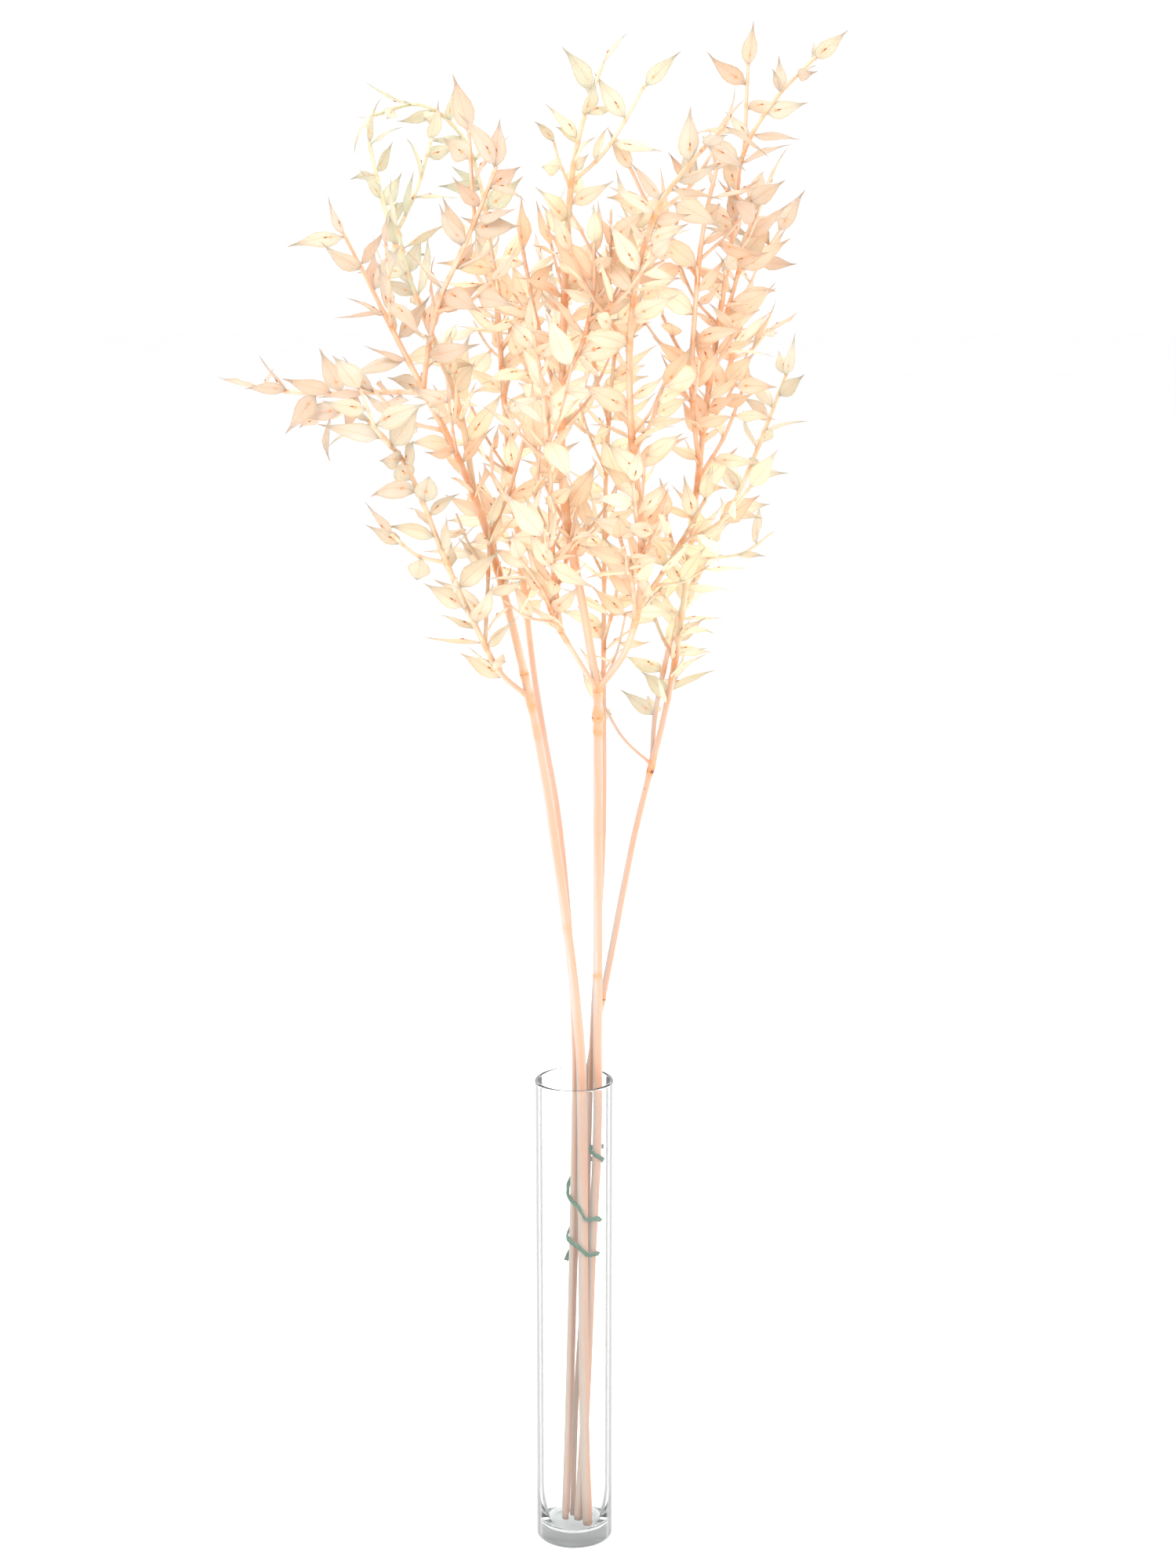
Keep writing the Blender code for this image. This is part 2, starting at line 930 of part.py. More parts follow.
def twine_route():
    """The twine's points: one turn round the centre stem, then turns round the whole bundle."""
    points = []
    count = round(TWINE_TURNS * math.tau / TWINE_STEP)
    for step in range(count + 1):
        angle = TWINE_START + step * TWINE_STEP
        share = step / count * (len(TWINE_LEVELS) - 1)
        index = min(int(share), len(TWINE_LEVELS) - 2)
        height = TWINE_LEVELS[index]
        height += (TWINE_LEVELS[index + 1] - height) * (share - index)
        away = Vector((math.cos(angle), math.sin(angle), 0.0))
        held = ["stem_centre"] if step * TWINE_STEP < TWINE_ROUND_ONE * math.tau else list(STEMS)
        reached = []
        for name in held:
            centre, radius = stem_at_height(STEMS[name][0], height)
            reached.append((centre.dot(away) + radius, centre, radius))
        _, centre, radius = max(reached, key=lambda item: item[0])
        point = centre + away * (radius + GAP + TWINE_RADIUS)
        points.append(Vector((point.x, point.y, height)))
    return points


def twine(home, material):
    """The doubled twine as one tube."""
    points = twine_route()
    made = tube("twine", points, [TWINE_RADIUS] * len(points), TWINE_SIDES)
    home.objects.link(made)
    made.data.materials.append(material)
    made.data.shade_smooth()
    return made


def main():
    """Builds the vase, the stems and the twine."""
    clear_scene()
    home = collection("dried_ruscus_in_vase")
    glass_vase(home, finish("clear_glass", *CLEAR))
    twine(home, finish("green_twine", *GREEN))
    template = blade_template()
    places = template_places(template)
    grown = grow_stems(template, places)
    for name, (branches, blades) in grown.items():
        material = finish(name + "_dried", *PEACH)
        leafy_stem(name, branches, blades, template, places, home, material)
        print(name, len(branches), "branches", len(blades), "blades")
    template.free()


main()
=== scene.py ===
"""Dresses five dried ruscus stems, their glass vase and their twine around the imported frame.

Lengths are metres and colours linear RGB. +Z is up, +X runs to the right and +Y away from
the viewer, and the origin is the centre of the vase's foot. The growing rule is the one that
placed the frame's branches and blades, so that each fine blade lies where its solid lies.
"""

import logging
import math
import random
from collections import defaultdict
from collections.abc import Callable, Iterator
from dataclasses import dataclass, field, replace
from enum import Enum
from typing import Any

import bmesh
import bpy
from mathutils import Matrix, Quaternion, Vector
from mathutils.bvhtree import BVHTree
from mathutils.geometry import intersect_point_line


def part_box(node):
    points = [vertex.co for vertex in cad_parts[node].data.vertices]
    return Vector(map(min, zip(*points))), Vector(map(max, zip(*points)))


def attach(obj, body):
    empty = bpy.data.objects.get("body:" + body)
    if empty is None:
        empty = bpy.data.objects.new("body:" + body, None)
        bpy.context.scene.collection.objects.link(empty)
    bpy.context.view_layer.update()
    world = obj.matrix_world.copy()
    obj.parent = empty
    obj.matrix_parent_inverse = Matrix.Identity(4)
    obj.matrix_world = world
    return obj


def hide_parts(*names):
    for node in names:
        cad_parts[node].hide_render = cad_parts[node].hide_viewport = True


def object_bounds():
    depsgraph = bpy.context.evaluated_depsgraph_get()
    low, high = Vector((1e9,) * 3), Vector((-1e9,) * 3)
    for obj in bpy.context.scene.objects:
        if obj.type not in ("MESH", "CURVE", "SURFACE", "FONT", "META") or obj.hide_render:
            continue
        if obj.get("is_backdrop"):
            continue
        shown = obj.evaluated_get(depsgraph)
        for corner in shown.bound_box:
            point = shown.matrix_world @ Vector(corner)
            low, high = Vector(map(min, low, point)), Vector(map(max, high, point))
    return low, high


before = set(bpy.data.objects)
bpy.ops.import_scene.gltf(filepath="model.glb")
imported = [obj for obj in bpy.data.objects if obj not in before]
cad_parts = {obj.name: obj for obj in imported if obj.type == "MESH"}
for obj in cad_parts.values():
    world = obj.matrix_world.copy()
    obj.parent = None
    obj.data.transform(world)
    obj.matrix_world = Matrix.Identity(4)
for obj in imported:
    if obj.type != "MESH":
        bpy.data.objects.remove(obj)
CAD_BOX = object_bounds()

LOG = logging.getLogger("dried_ruscus")
Colour = tuple[float, float, float]
Point = tuple[float, float, float]
Span = tuple[float, float]
Cell = tuple[int, int, int]
Corners = list[int] | tuple[int, ...]
Reading = Callable[[float, float], float]


class Stem(Enum):
    """The five stems, by the frame's names."""

    LEFT = "stem_left"
    LEFT_REAR = "stem_left_rear"
    CENTRE = "stem_centre"
    REAR = "stem_rear"
    RIGHT = "stem_right"


class Slot(Enum):
    """The record's material slots."""

    GLASS = "clear_glass"
    RUSCUS = "dried_ruscus"
    TWINE = "green_twine"


# The stems as they grow


@dataclass(frozen=True)
class Branch:
    """A woody run from root to tip.

    bare is the length without blades at its root, and twiggy the share that bears twigs.
    """

    route: tuple[Point | Vector, ...]
    root_radius: float
    tip_radius: float
    bare: float
    twiggy: float = 1.0


@dataclass(frozen=True)
class Blade:
    """A leaf blade: where it grows, how it points and faces, and its own shape."""

    root: Vector
    forward: Vector
    normal: Vector
    length: float
    width: float
    bend: float
    twist: float
    fold: float
    branch: int = 0
    distance: float = 0.0


NO_BLADES = 1.0
TENDRIL_TIP = 0.0007
FOOT_HEIGHT = 0.0076

LEFT_STEM = (
    Branch(
        (
            (0.007, -0.008, FOOT_HEIGHT), (0.005, -0.005, 0.075), (0.004, -0.005, 0.240),
            (0.001, -0.006, 0.292), (-0.010, -0.012, 0.382), (-0.022, -0.020, 0.454),
            (-0.046, -0.030, 0.547), (-0.077, -0.034, 0.613), (-0.106, -0.038, 0.672),
        ),
        root_radius=0.0026,
        tip_radius=0.0008,
        bare=0.500,
    ),
    Branch(
        (
            (-0.021, -0.019, 0.448), (-0.034, -0.028, 0.462), (-0.056, -0.050, 0.512),
            (-0.076, -0.061, 0.565), (-0.094, -0.064, 0.588),
        ),
        root_radius=0.0013,
        tip_radius=0.0008,
        bare=0.016,
    ),
    Branch(
        (
            (-0.068, -0.033, 0.596), (-0.085, -0.026, 0.598), (-0.124, -0.008, 0.596),
            (-0.153, 0.008, 0.598),
        ),
        root_radius=0.0012,
        tip_radius=0.0008,
        bare=0.012,
    ),
    Branch(
        (
            (-0.070, -0.033, 0.602), (-0.062, -0.047, 0.640), (-0.047, -0.062, 0.671),
            (-0.034, -0.068, 0.702),
        ),
        root_radius=0.0012,
        tip_radius=0.0008,
        bare=0.012,
    ),
    Branch(
        (
            (-0.047, -0.030, 0.550), (-0.054, -0.014, 0.588), (-0.072, 0.010, 0.632),
            (-0.089, 0.026, 0.674), (-0.099, 0.034, 0.714),
        ),
        root_radius=0.0014,
        tip_radius=0.0008,
        bare=0.016,
    ),
)

LEFT_REAR_STEM = (
    Branch(
        (
            (-0.005, -0.0025, FOOT_HEIGHT), (-0.003, 0.0005, 0.075), (0.000, 0.0005, 0.206),
            (0.000, 0.002, 0.281), (-0.007, 0.012, 0.376), (-0.020, 0.026, 0.454),
            (-0.034, 0.056, 0.576), (-0.040, 0.072, 0.650), (-0.050, 0.076, 0.705),
            (-0.069, 0.070, 0.731), (-0.098, 0.052, 0.727),
        ),
        root_radius=0.0018,
        tip_radius=0.0008,
        bare=0.470,
        twiggy=0.83,
    ),
    Branch(
        (
            (-0.026, 0.039, 0.504), (-0.034, 0.050, 0.519), (-0.048, 0.066, 0.531),
        ),
        root_radius=0.0010,
        tip_radius=0.0008,
        bare=0.010,
    ),
    Branch(
        (
            (-0.036, 0.060, 0.592), (-0.031, 0.078, 0.616), (-0.044, 0.098, 0.652),
        ),
        root_radius=0.0010,
        tip_radius=0.0008,
        bare=0.012,
    ),
)

CENTRE_STEM = (
    Branch(
        (
            (0.002, -0.003, FOOT_HEIGHT), (0.006, 0.0002, 0.075), (0.009, 0.0002, 0.155),
            (0.0118, 0.0002, 0.215), (0.012, 0.000, 0.260), (0.012, -0.005, 0.364),
            (0.012, -0.010, 0.456),
        ),
        root_radius=0.0024,
        tip_radius=0.0022,
        bare=NO_BLADES,
        twiggy=0.0,
    ),
    Branch(
        (
            (0.012, -0.010, 0.452), (0.005, -0.013, 0.492), (-0.005, -0.017, 0.555),
            (-0.004, -0.020, 0.640), (0.001, -0.018, 0.707), (0.014, -0.010, 0.749),
        ),
        root_radius=0.0020,
        tip_radius=0.0008,
        bare=0.055,
    ),
    Branch(
        (
            (0.012, -0.010, 0.452), (-0.006, -0.028, 0.484), (-0.015, -0.042, 0.507),
            (-0.025, -0.053, 0.523),
        ),
        root_radius=0.0012,
        tip_radius=0.0008,
        bare=0.030,
    ),
    Branch(
        (
            (-0.006, -0.028, 0.484), (-0.010, -0.046, 0.528), (-0.011, -0.060, 0.583),
            (-0.018, -0.066, 0.628),
        ),
        root_radius=0.0012,
        tip_radius=0.0008,
        bare=0.020,
    ),
    Branch(
        (
            (-0.004, -0.018, 0.590), (-0.016, -0.008, 0.624), (-0.024, -0.002, 0.664),
        ),
        root_radius=0.0010,
        tip_radius=0.0008,
        bare=0.012,
    ),
    Branch(
        (
            (-0.004, -0.020, 0.600), (0.008, -0.036, 0.632), (0.010, -0.050, 0.668),
        ),
        root_radius=0.0010,
        tip_radius=0.0008,
        bare=0.012,
    ),
    Branch(
        (
            (0.012, -0.010, 0.453), (0.028, -0.016, 0.479), (0.033, -0.024, 0.524),
            (0.027, -0.034, 0.588), (0.028, -0.042, 0.640), (0.040, -0.050, 0.685),
            (0.069, -0.056, 0.720),
        ),
        root_radius=0.0016,
        tip_radius=0.0008,
        bare=0.050,
    ),
    Branch(
        (
            (0.031, -0.018, 0.488), (0.028, -0.032, 0.510), (0.022, -0.046, 0.532),
        ),
        root_radius=0.0010,
        tip_radius=0.0008,
        bare=0.010,
    ),
    Branch(
        (
            (0.033, -0.019, 0.492), (0.049, -0.008, 0.519), (0.064, 0.002, 0.544),
        ),
        root_radius=0.0011,
        tip_radius=0.0008,
        bare=0.014,
    ),
)

REAR_STEM = (
    Branch(
        (
            (-0.001, 0.0015, FOOT_HEIGHT), (0.001, 0.0045, 0.075), (0.006, 0.0045, 0.155),
            (0.008, 0.0046, 0.230), (0.010, 0.006, 0.288), (0.015, 0.014, 0.376),
            (0.015, 0.032, 0.477), (0.017, 0.054, 0.569), (0.025, 0.068, 0.655),
        ),
        root_radius=0.0014,
        tip_radius=0.0008,
        bare=0.440,
    ),
    Branch(
        (
            (0.023, 0.064, 0.625), (0.030, 0.074, 0.640), (0.032, 0.090, 0.678),
        ),
        root_radius=0.0010,
        tip_radius=0.0008,
        bare=0.012,
    ),
    Branch(
        (
            (0.018, 0.056, 0.576), (0.010, 0.074, 0.606), (0.009, 0.098, 0.660),
        ),
        root_radius=0.0010,
        tip_radius=0.0008,
        bare=0.012,
    ),
)

RIGHT_STEM = (
    Branch(
        (
            (-0.0045, 0.005, FOOT_HEIGHT), (-0.002, 0.0083, 0.075), (0.001, 0.0083, 0.173),
            (0.007, 0.0084, 0.247), (0.017, 0.010, 0.303), (0.031, 0.015, 0.376),
            (0.046, 0.020, 0.437), (0.055, 0.020, 0.494), (0.065, 0.014, 0.590),
            (0.076, 0.002, 0.670), (0.083, -0.006, 0.716), (0.113, -0.012, 0.752),
        ),
        root_radius=0.0018,
        tip_radius=0.0008,
        bare=0.430,
    ),
    Branch(
        (
            (0.039, 0.018, 0.409), (0.041, 0.030, 0.432), (0.054, 0.054, 0.481),
            (0.086, 0.080, 0.542), (0.109, 0.094, 0.598),
        ),
        root_radius=0.0013,
        tip_radius=0.0008,
        bare=0.020,
        twiggy=0.0,
    ),
    Branch(
        (
            (0.038, 0.018, 0.407), (0.028, 0.015, 0.418), (0.018, 0.011, 0.436),
            (0.014, 0.009, 0.443),
        ),
        root_radius=0.0008,
        tip_radius=TENDRIL_TIP,
        bare=0.030,
        twiggy=0.0,
    ),
    Branch(
        (
            (0.062, 0.016, 0.560), (0.057, 0.000, 0.600), (0.060, -0.018, 0.665),
            (0.067, -0.026, 0.702),
        ),
        root_radius=0.0012,
        tip_radius=0.0008,
        bare=0.014,
    ),
    Branch(
        (
            (0.064, 0.014, 0.580), (0.075, 0.028, 0.602), (0.086, 0.048, 0.637),
        ),
        root_radius=0.0010,
        tip_radius=0.0008,
        bare=0.012,
    ),
    Branch(
        (
            (0.068, 0.010, 0.618), (0.078, 0.020, 0.645), (0.088, 0.026, 0.684),
        ),
        root_radius=0.0010,
        tip_radius=0.0008,
        bare=0.012,
    ),
)

STEMS = {
    Stem.LEFT: LEFT_STEM,
    Stem.LEFT_REAR: LEFT_REAR_STEM,
    Stem.CENTRE: CENTRE_STEM,
    Stem.REAR: REAR_STEM,
    Stem.RIGHT: RIGHT_STEM,
}


@dataclass(frozen=True)
class ShootTone:
    """The colour of the blades and bark on one drawn branch and its twigs, above a height."""

    stem: Stem
    branch: int
    above: float
    greenness: float
    warmth: float


TONES = (
    ShootTone(Stem.LEFT, 0, 0.0, 0.10, 0.50),
    ShootTone(Stem.LEFT, 1, 0.0, 0.40, 0.15),
    ShootTone(Stem.LEFT, 2, 0.0, 0.05, 0.55),
    ShootTone(Stem.LEFT, 3, 0.0, 0.10, 0.65),
    ShootTone(Stem.LEFT, 4, 0.0, 0.45, 0.30),
    ShootTone(Stem.LEFT, 4, 0.645, 0.95, 0.00),
    ShootTone(Stem.LEFT_REAR, 0, 0.0, 0.20, 0.45),
    ShootTone(Stem.LEFT_REAR, 0, 0.680, 0.95, 0.00),
    ShootTone(Stem.CENTRE, 0, 0.0, 0.10, 0.40),
    ShootTone(Stem.CENTRE, 1, 0.0, 0.10, 0.45),
    ShootTone(Stem.CENTRE, 1, 0.665, 0.60, 0.10),
    ShootTone(Stem.CENTRE, 2, 0.0, 0.15, 0.20),
    ShootTone(Stem.CENTRE, 3, 0.0, 0.15, 0.35),
    ShootTone(Stem.CENTRE, 6, 0.0, 0.15, 0.45),
    ShootTone(Stem.CENTRE, 8, 0.0, 0.50, 0.10),
    ShootTone(Stem.REAR, 0, 0.0, 0.35, 0.30),
    ShootTone(Stem.RIGHT, 0, 0.0, 0.60, 0.05),
    ShootTone(Stem.RIGHT, 0, 0.520, 0.10, 0.75),
    ShootTone(Stem.RIGHT, 0, 0.700, 0.35, 0.60),
    ShootTone(Stem.RIGHT, 1, 0.0, 0.60, 0.15),
    ShootTone(Stem.RIGHT, 3, 0.0, 0.05, 0.85),
)


def curve_weights(knots: list[Vector], index: int) -> tuple[Vector, Vector, Vector, Vector]:
    """The polynomial of the smooth curve between two knots.

    Args:
        knots: the points that the curve passes through.
        index: the number of the knot where this stretch begins.

    Returns:
        The constant, linear, square and cubic terms, for a share from 0 to 1.
    """
    b, c = knots[index], knots[index + 1]
    a = knots[index - 1] if index else 2 * b - c
    d = knots[index + 2] if index + 2 < len(knots) else 2 * c - b
    return b, 0.5 * (c - a), 0.5 * (2 * a - 5 * b + 4 * c - d), 0.5 * (3 * b - a - 3 * c + d)


class Run:
    """A line of points, read by the distance along it."""

    def __init__(self, points: list[Vector]) -> None:
        """Measures the line.

        Args:
            points: the line's points, in order.
        """
        self.points = points
        self.distances = [0.0]
        for before, after in zip(points, points[1:]):
            self.distances.append(self.distances[-1] + (after - before).length)
        self.length = self.distances[-1]

    def place(self, distance: float) -> tuple[int, float]:
        """The stretch that holds a distance, and the share along it.

        Args:
            distance: how far along the line, in metres.

        Returns:
            The number of the point after it, and the share of the way to it.
        """
        index = 1
        while index < len(self.points) - 1 and self.distances[index] < distance:
            index += 1
        span = self.distances[index] - self.distances[index - 1]
        return index, (distance - self.distances[index - 1]) / span

    def at(self, distance: float) -> tuple[Vector, Vector]:
        """The point at this distance and the direction there.

        Args:
            distance: how far along the line.

        Returns:
            The point and its unit direction.
        """
        index, share = self.place(distance)
        before, after = self.points[index - 1], self.points[index]
        return before.lerp(after, share), (after - before).normalized()

    def smooth_at(self, distance: float) -> tuple[Vector, Vector]:
        """The point and direction there on the smooth curve through the line's points.

        Args:
            distance: how far along the line.

        Returns:
            The point and its unit direction.
        """
        index, t = self.place(distance)
        still, slope, bow, twist = curve_weights(self.points, index - 1)
        point = still + slope * t + bow * t * t + twist * t**3
        return point, (slope + 2 * bow * t + 3 * twist * t * t).normalized()


class Crowd:
    """What has been placed so far, by owner, for keeping new pieces clear of it."""

    def __init__(self, cell: float) -> None:
        """An empty crowd on a grid of this cell size."""
        self.cell = cell
        self.cells: dict[Cell, list[tuple[Stem, BVHTree]]] = defaultdict(list)

    def cells_of(self, points: list[Vector]) -> Iterator[Cell]:
        """The cells of the grid that a shape's box touches.

        Args:
            points: the shape's corners.

        Returns:
            Each cell's three numbers.
        """
        low = [math.floor(min(p[k] for p in points) / self.cell) for k in range(3)]
        high = [math.floor(max(p[k] for p in points) / self.cell) for k in range(3)]
        for x in range(low[0], high[0] + 1):
            for y in range(low[1], high[1] + 1):
                for z in range(low[2], high[2] + 1):
                    yield x, y, z

    def add(self, owner: Stem, points: list[Vector], faces: list[Corners]) -> None:
        """Notes a placed shape.

        Args:
            owner: the stem that it grows on.
            points: its corners.
            faces: its faces.
        """
        entry = (owner, BVHTree.FromPolygons(points, faces))
        for cell in self.cells_of(points):
            self.cells[cell].append(entry)

    def meets(
        self, points: list[Vector], faces: list[Corners], owner: Stem, own: bool
    ) -> bool:
        """Whether a shape cuts into what is placed.

        Args:
            points: the shape's corners.
            faces: its faces.
            owner: the stem that it grows on.
            own: True to test the owner's own pieces, False to test everyone else's.

        Returns:
            True where it cuts into one of them.
        """
        tree = BVHTree.FromPolygons(points, faces)
        seen = set()
        for cell in self.cells_of(points):
            for entry in self.cells[cell]:
                if (entry[0] == owner) == own and id(entry) not in seen:
                    seen.add(id(entry))
                    if tree.overlap(entry[1]):
                        return True
        return False


@dataclass
class CoarseBlade:
    """The solid wedge that keeps a blade's room: two edges and a rib."""

    thickness: float = 0.0011
    lower_ring: Span = (0.27, 0.97)
    upper_ring: Span = (0.60, 0.75)
    places: list[tuple[float, float, int]] = field(init=False)
    faces: list[list[int]] = field(init=False)
    far_faces: list[list[int]] = field(init=False)

    def __post_init__(self) -> None:
        """Makes the wedge from a three-sided sphere, cut alike on both sides of its rib."""
        shape = bmesh.new()
        bmesh.ops.create_uvsphere(shape, u_segments=3, v_segments=3, radius=1.0)
        for face in [f for f in shape.faces if len(f.verts) == 4]:
            low = max((v for v in face.verts if v.co.z < 0), key=lambda v: abs(v.co.x))
            high = max(
                (v for v in face.verts if v.co.z > 0), key=lambda v: abs(v.co.x - low.co.x)
            )
            bmesh.utils.face_split(face, low, high)
        self.places = [self.place_of(vertex.co) for vertex in shape.verts]
        self.faces = [[v.index for v in face.verts] for face in shape.faces]
        self.far_faces = [f for f in self.faces if all(self.places[i][0] > 0 for i in f)]
        shape.free()

    def place_of(self, at: Vector) -> tuple[float, float, int]:
        """A corner's share along, its breadth, and -1, 0 or 1 for edge, rib or edge.

        Args:
            at: the corner on the unit sphere.

        Returns:
            The share, the breadth and the side.
        """
        if abs(at.z) > 0.9:
            return (0.0 if at.z < 0 else 1.0, 0.0, 0)
        return (*(self.lower_ring if at.z < 0 else self.upper_ring), round(at.x))

    def points(self, blade: Blade, room: float = 0.0) -> list[Vector]:
        """The wedge's corners on one blade, grown by room on every side.

        Args:
            blade: the blade whose room is kept.
            room: how far to grow the wedge.

        Returns:
            The corners, in the order of places.
        """
        side = blade.normal.cross(blade.forward)
        points = []
        for share, broad, across in self.places:
            turn = blade.bend * share
            reach = blade.length * share + room * (share - 0.5) * 2
            ahead, rise = arc(blade.bend, reach, turn if share else 0.0)
            normal = blade.normal * math.cos(turn) - blade.forward * math.sin(turn)
            half = blade.width / 2 * broad
            twist = blade.twist * share
            flat = side * math.cos(twist) + normal * math.sin(twist)
            up = normal * math.cos(twist) - side * math.sin(twist)
            point = blade.root + blade.forward * ahead + blade.normal * rise
            point += flat * across * (half + room)
            if broad:
                depth = self.thickness / 2 + room + blade.fold * half / 2
                point += up * (-depth if across else depth)
            points.append(point)
        return points


def arc(bend: float, reach: float, turn: float) -> Span:
    """How far ahead and how high a blade's line is, after this reach and turn.

    Args:
        bend: the whole blade's bend, in radians.
        reach: the length along the blade.
        turn: the bend up to there.

    Returns:
        The distance ahead and the rise.
    """
    if abs(bend) > 1e-4 and turn:
        return reach * math.sin(turn) / turn, reach * (1 - math.cos(turn)) / turn
    return reach, 0.0


def held(value: float) -> float:
    """A number held between 0 and 1."""
    return min(1.0, max(0.0, value))


def outward(direction: Vector, azimuth: float) -> Vector:
    """A direction square to the branch, turned round it by the azimuth.

    Args:
        direction: the branch's direction.
        azimuth: the angle round it.

    Returns:
        The unit direction.
    """
    across = direction.cross(Vector((0, 0, 1)))
    if across.length < 0.05:
        across = direction.orthogonal()
    return Quaternion(direction, azimuth) @ across.normalized()


@dataclass
class Grown:
    """One stem's branches and blades. Those from solid_blades on are in the scene alone."""

    branches: list[Branch]
    blades: list[Blade]
    solid_blades: int = 0


@dataclass
class GrowthRule:
    """The rule that places twigs and blades so that no two stems cross."""

    blade_length: Span = (0.023, 0.035)
    blade_width_share: Span = (0.33, 0.44)
    blade_spacing: float = 0.0117
    blade_bend: Span = (-0.35, 0.95)
    blade_twist: Span = (-0.40, 0.40)
    blade_fold: Span = (0.05, 0.25)
    blade_lean: Span = (0.70, 1.20)
    blade_roll: Span = (0.30, 1.45)
    blade_room: float = 0.0005
    blade_tries: int = 18
    tip_lean: Span = (0.05, 0.40)
    tip_shrink: float = 0.22
    tip_sink: float = 0.0015
    root_sink: float = 0.0006
    twig_spacing: float = 0.052
    twig_length: Span = (0.030, 0.052)
    twig_radius: Span = (0.0009, 0.0007)
    twig_lean: Span = (0.65, 0.95)
    twig_rise: float = 0.25
    twig_bare: float = 0.008
    twig_room: float = 0.0012
    twig_tries: int = 10
    twig_ends: Span = (0.5, 0.4)
    azimuth_swing: Span = (-0.6, 0.6)
    spacing_swing: Span = (0.85, 1.15)
    first_blade: Span = (0.2, 0.8)
    last_blade: float = 0.6
    retry_turn: float = 0.7
    retry_swing: Span = (-0.5, 0.5)
    retry_widening: float = 0.25
    retry_shrink: float = 0.015
    shell_margin: float = 1.2
    stem_step: float = 0.028
    branch_step: float = 0.023
    taper_power: float = 3.0
    curve_parts: int = 12
    long_stem: float = 0.400
    golden_turn: float = math.radians(137.5)
    cell: float = 0.040
    twig_seed: int = 41
    blade_seed: int = 141
    wedge: CoarseBlade = field(default_factory=CoarseBlade)

    def wood_run(self, branch: Branch) -> Run:
        """A branch's line, with a point at each ring of its solid.

        Args:
            branch: the branch.

        Returns:
            Its line.
        """
        points = [Vector(p) for p in branch.route]
        ends = [2 * points[0] - points[1], *points, 2 * points[-1] - points[-2]]
        close = []
        for a, b, c, d in zip(ends, ends[1:], ends[2:], ends[3:]):
            for part in range(self.curve_parts):
                t = part / self.curve_parts
                bow = (2 * a - 5 * b + 4 * c - d) * t * t + (3 * b - a - 3 * c + d) * t**3
                close.append(b + 0.5 * ((c - a) * t + bow))
        curve = Run([*close, points[-1]])
        step = self.stem_step if curve.length > self.long_stem else self.branch_step
        count = max(2, round(curve.length / step))
        return Run([curve.at(curve.length * i / count)[0] for i in range(count + 1)])

    def radius_at(self, branch: Branch, share: float) -> float:
        """The radius of a branch, which tapers slowly at first."""
        change = branch.tip_radius - branch.root_radius
        return branch.root_radius + change * share**self.taper_power

    def rooted(self, branch: Branch, parents: list[Branch]) -> Branch:
        """The branch with its first point moved onto the nearest line of its parents' wood.

        Args:
            branch: the branch to move.
            parents: the branches that it may grow from.

        Returns:
            The seated branch.
        """
        root = Vector(branch.route[0])
        nearest = None
        for parent in parents:
            points = self.wood_run(parent).points
            for low, high in zip(points, points[1:]):
                foot, share = intersect_point_line(root, low, high)
                foot = low.lerp(high, min(max(share, 0.0), 1.0))
                if nearest is None or (foot - root).length < (nearest - root).length:
                    nearest = foot
        return replace(branch, route=(nearest, *branch.route[1:]))

    def shell(self, branch: Branch, room: float) -> Iterator[tuple[list[Vector], list[Corners]]]:
        """A square tube round a branch, in short pieces, for testing clearance.

        Args:
            branch: the branch.
            room: how much wider than the wood.

        Returns:
            Each piece's corners and faces.
        """
        run = self.wood_run(branch)
        rings = []
        for distance in run.distances:
            point, direction = run.at(distance)
            radius = self.radius_at(branch, distance / run.length) + room
            across = direction.orthogonal().normalized()
            corners = []
            for quarter in range(4):
                corner = Quaternion(direction, quarter * math.pi / 2) @ across
                corners.append(point + corner * radius * self.shell_margin)
            rings.append(corners)
        faces = [(k, (k + 1) % 4, (k + 1) % 4 + 4, k + 4) for k in range(4)]
        faces += [(0, 1, 2, 3), (4, 5, 6, 7)]
        for low, high in zip(rings, rings[1:]):
            yield low + high, faces

    def note(self, crowd: Crowd, owner: Stem, branch: Branch) -> None:
        """Notes a branch's wood in the crowd."""
        for points, faces in self.shell(branch, 0.0):
            crowd.add(owner, points, faces)

    def is_clear(self, crowd: Crowd, owner: Stem, branch: Branch) -> bool:
        """Whether a branch keeps clear of every other stem's pieces."""
        shells = self.shell(branch, self.twig_room)
        return not any(crowd.meets(points, faces, owner, own=False) for points, faces in shells)

    def drawn_twig(
        self,
        draw: random.Random,
        root: Vector,
        direction: Vector,
        azimuth: float,
        lengths: Span,
        radii: Span,
        bare: float,
    ) -> Branch:
        """A twig that leaves a branch at this azimuth and turns up towards its tip.

        Args:
            draw: the stem's random draws.
            root: where it grows.
            direction: the branch's direction there.
            azimuth: the angle round the branch.
            lengths: the shortest and longest.
            radii: at its root and at its tip.
            bare: the length without blades.

        Returns:
            The twig.
        """
        out = outward(direction, azimuth)
        lean = draw.uniform(*self.twig_lean)
        heading = direction * math.cos(lean) + out * math.sin(lean)
        length = draw.uniform(*lengths)
        middle = root + heading * length * 0.5
        tip = root + heading * length + Vector((0, 0, self.twig_rise * length))
        return Branch((root, middle, tip), *radii, bare, twiggy=0.0)

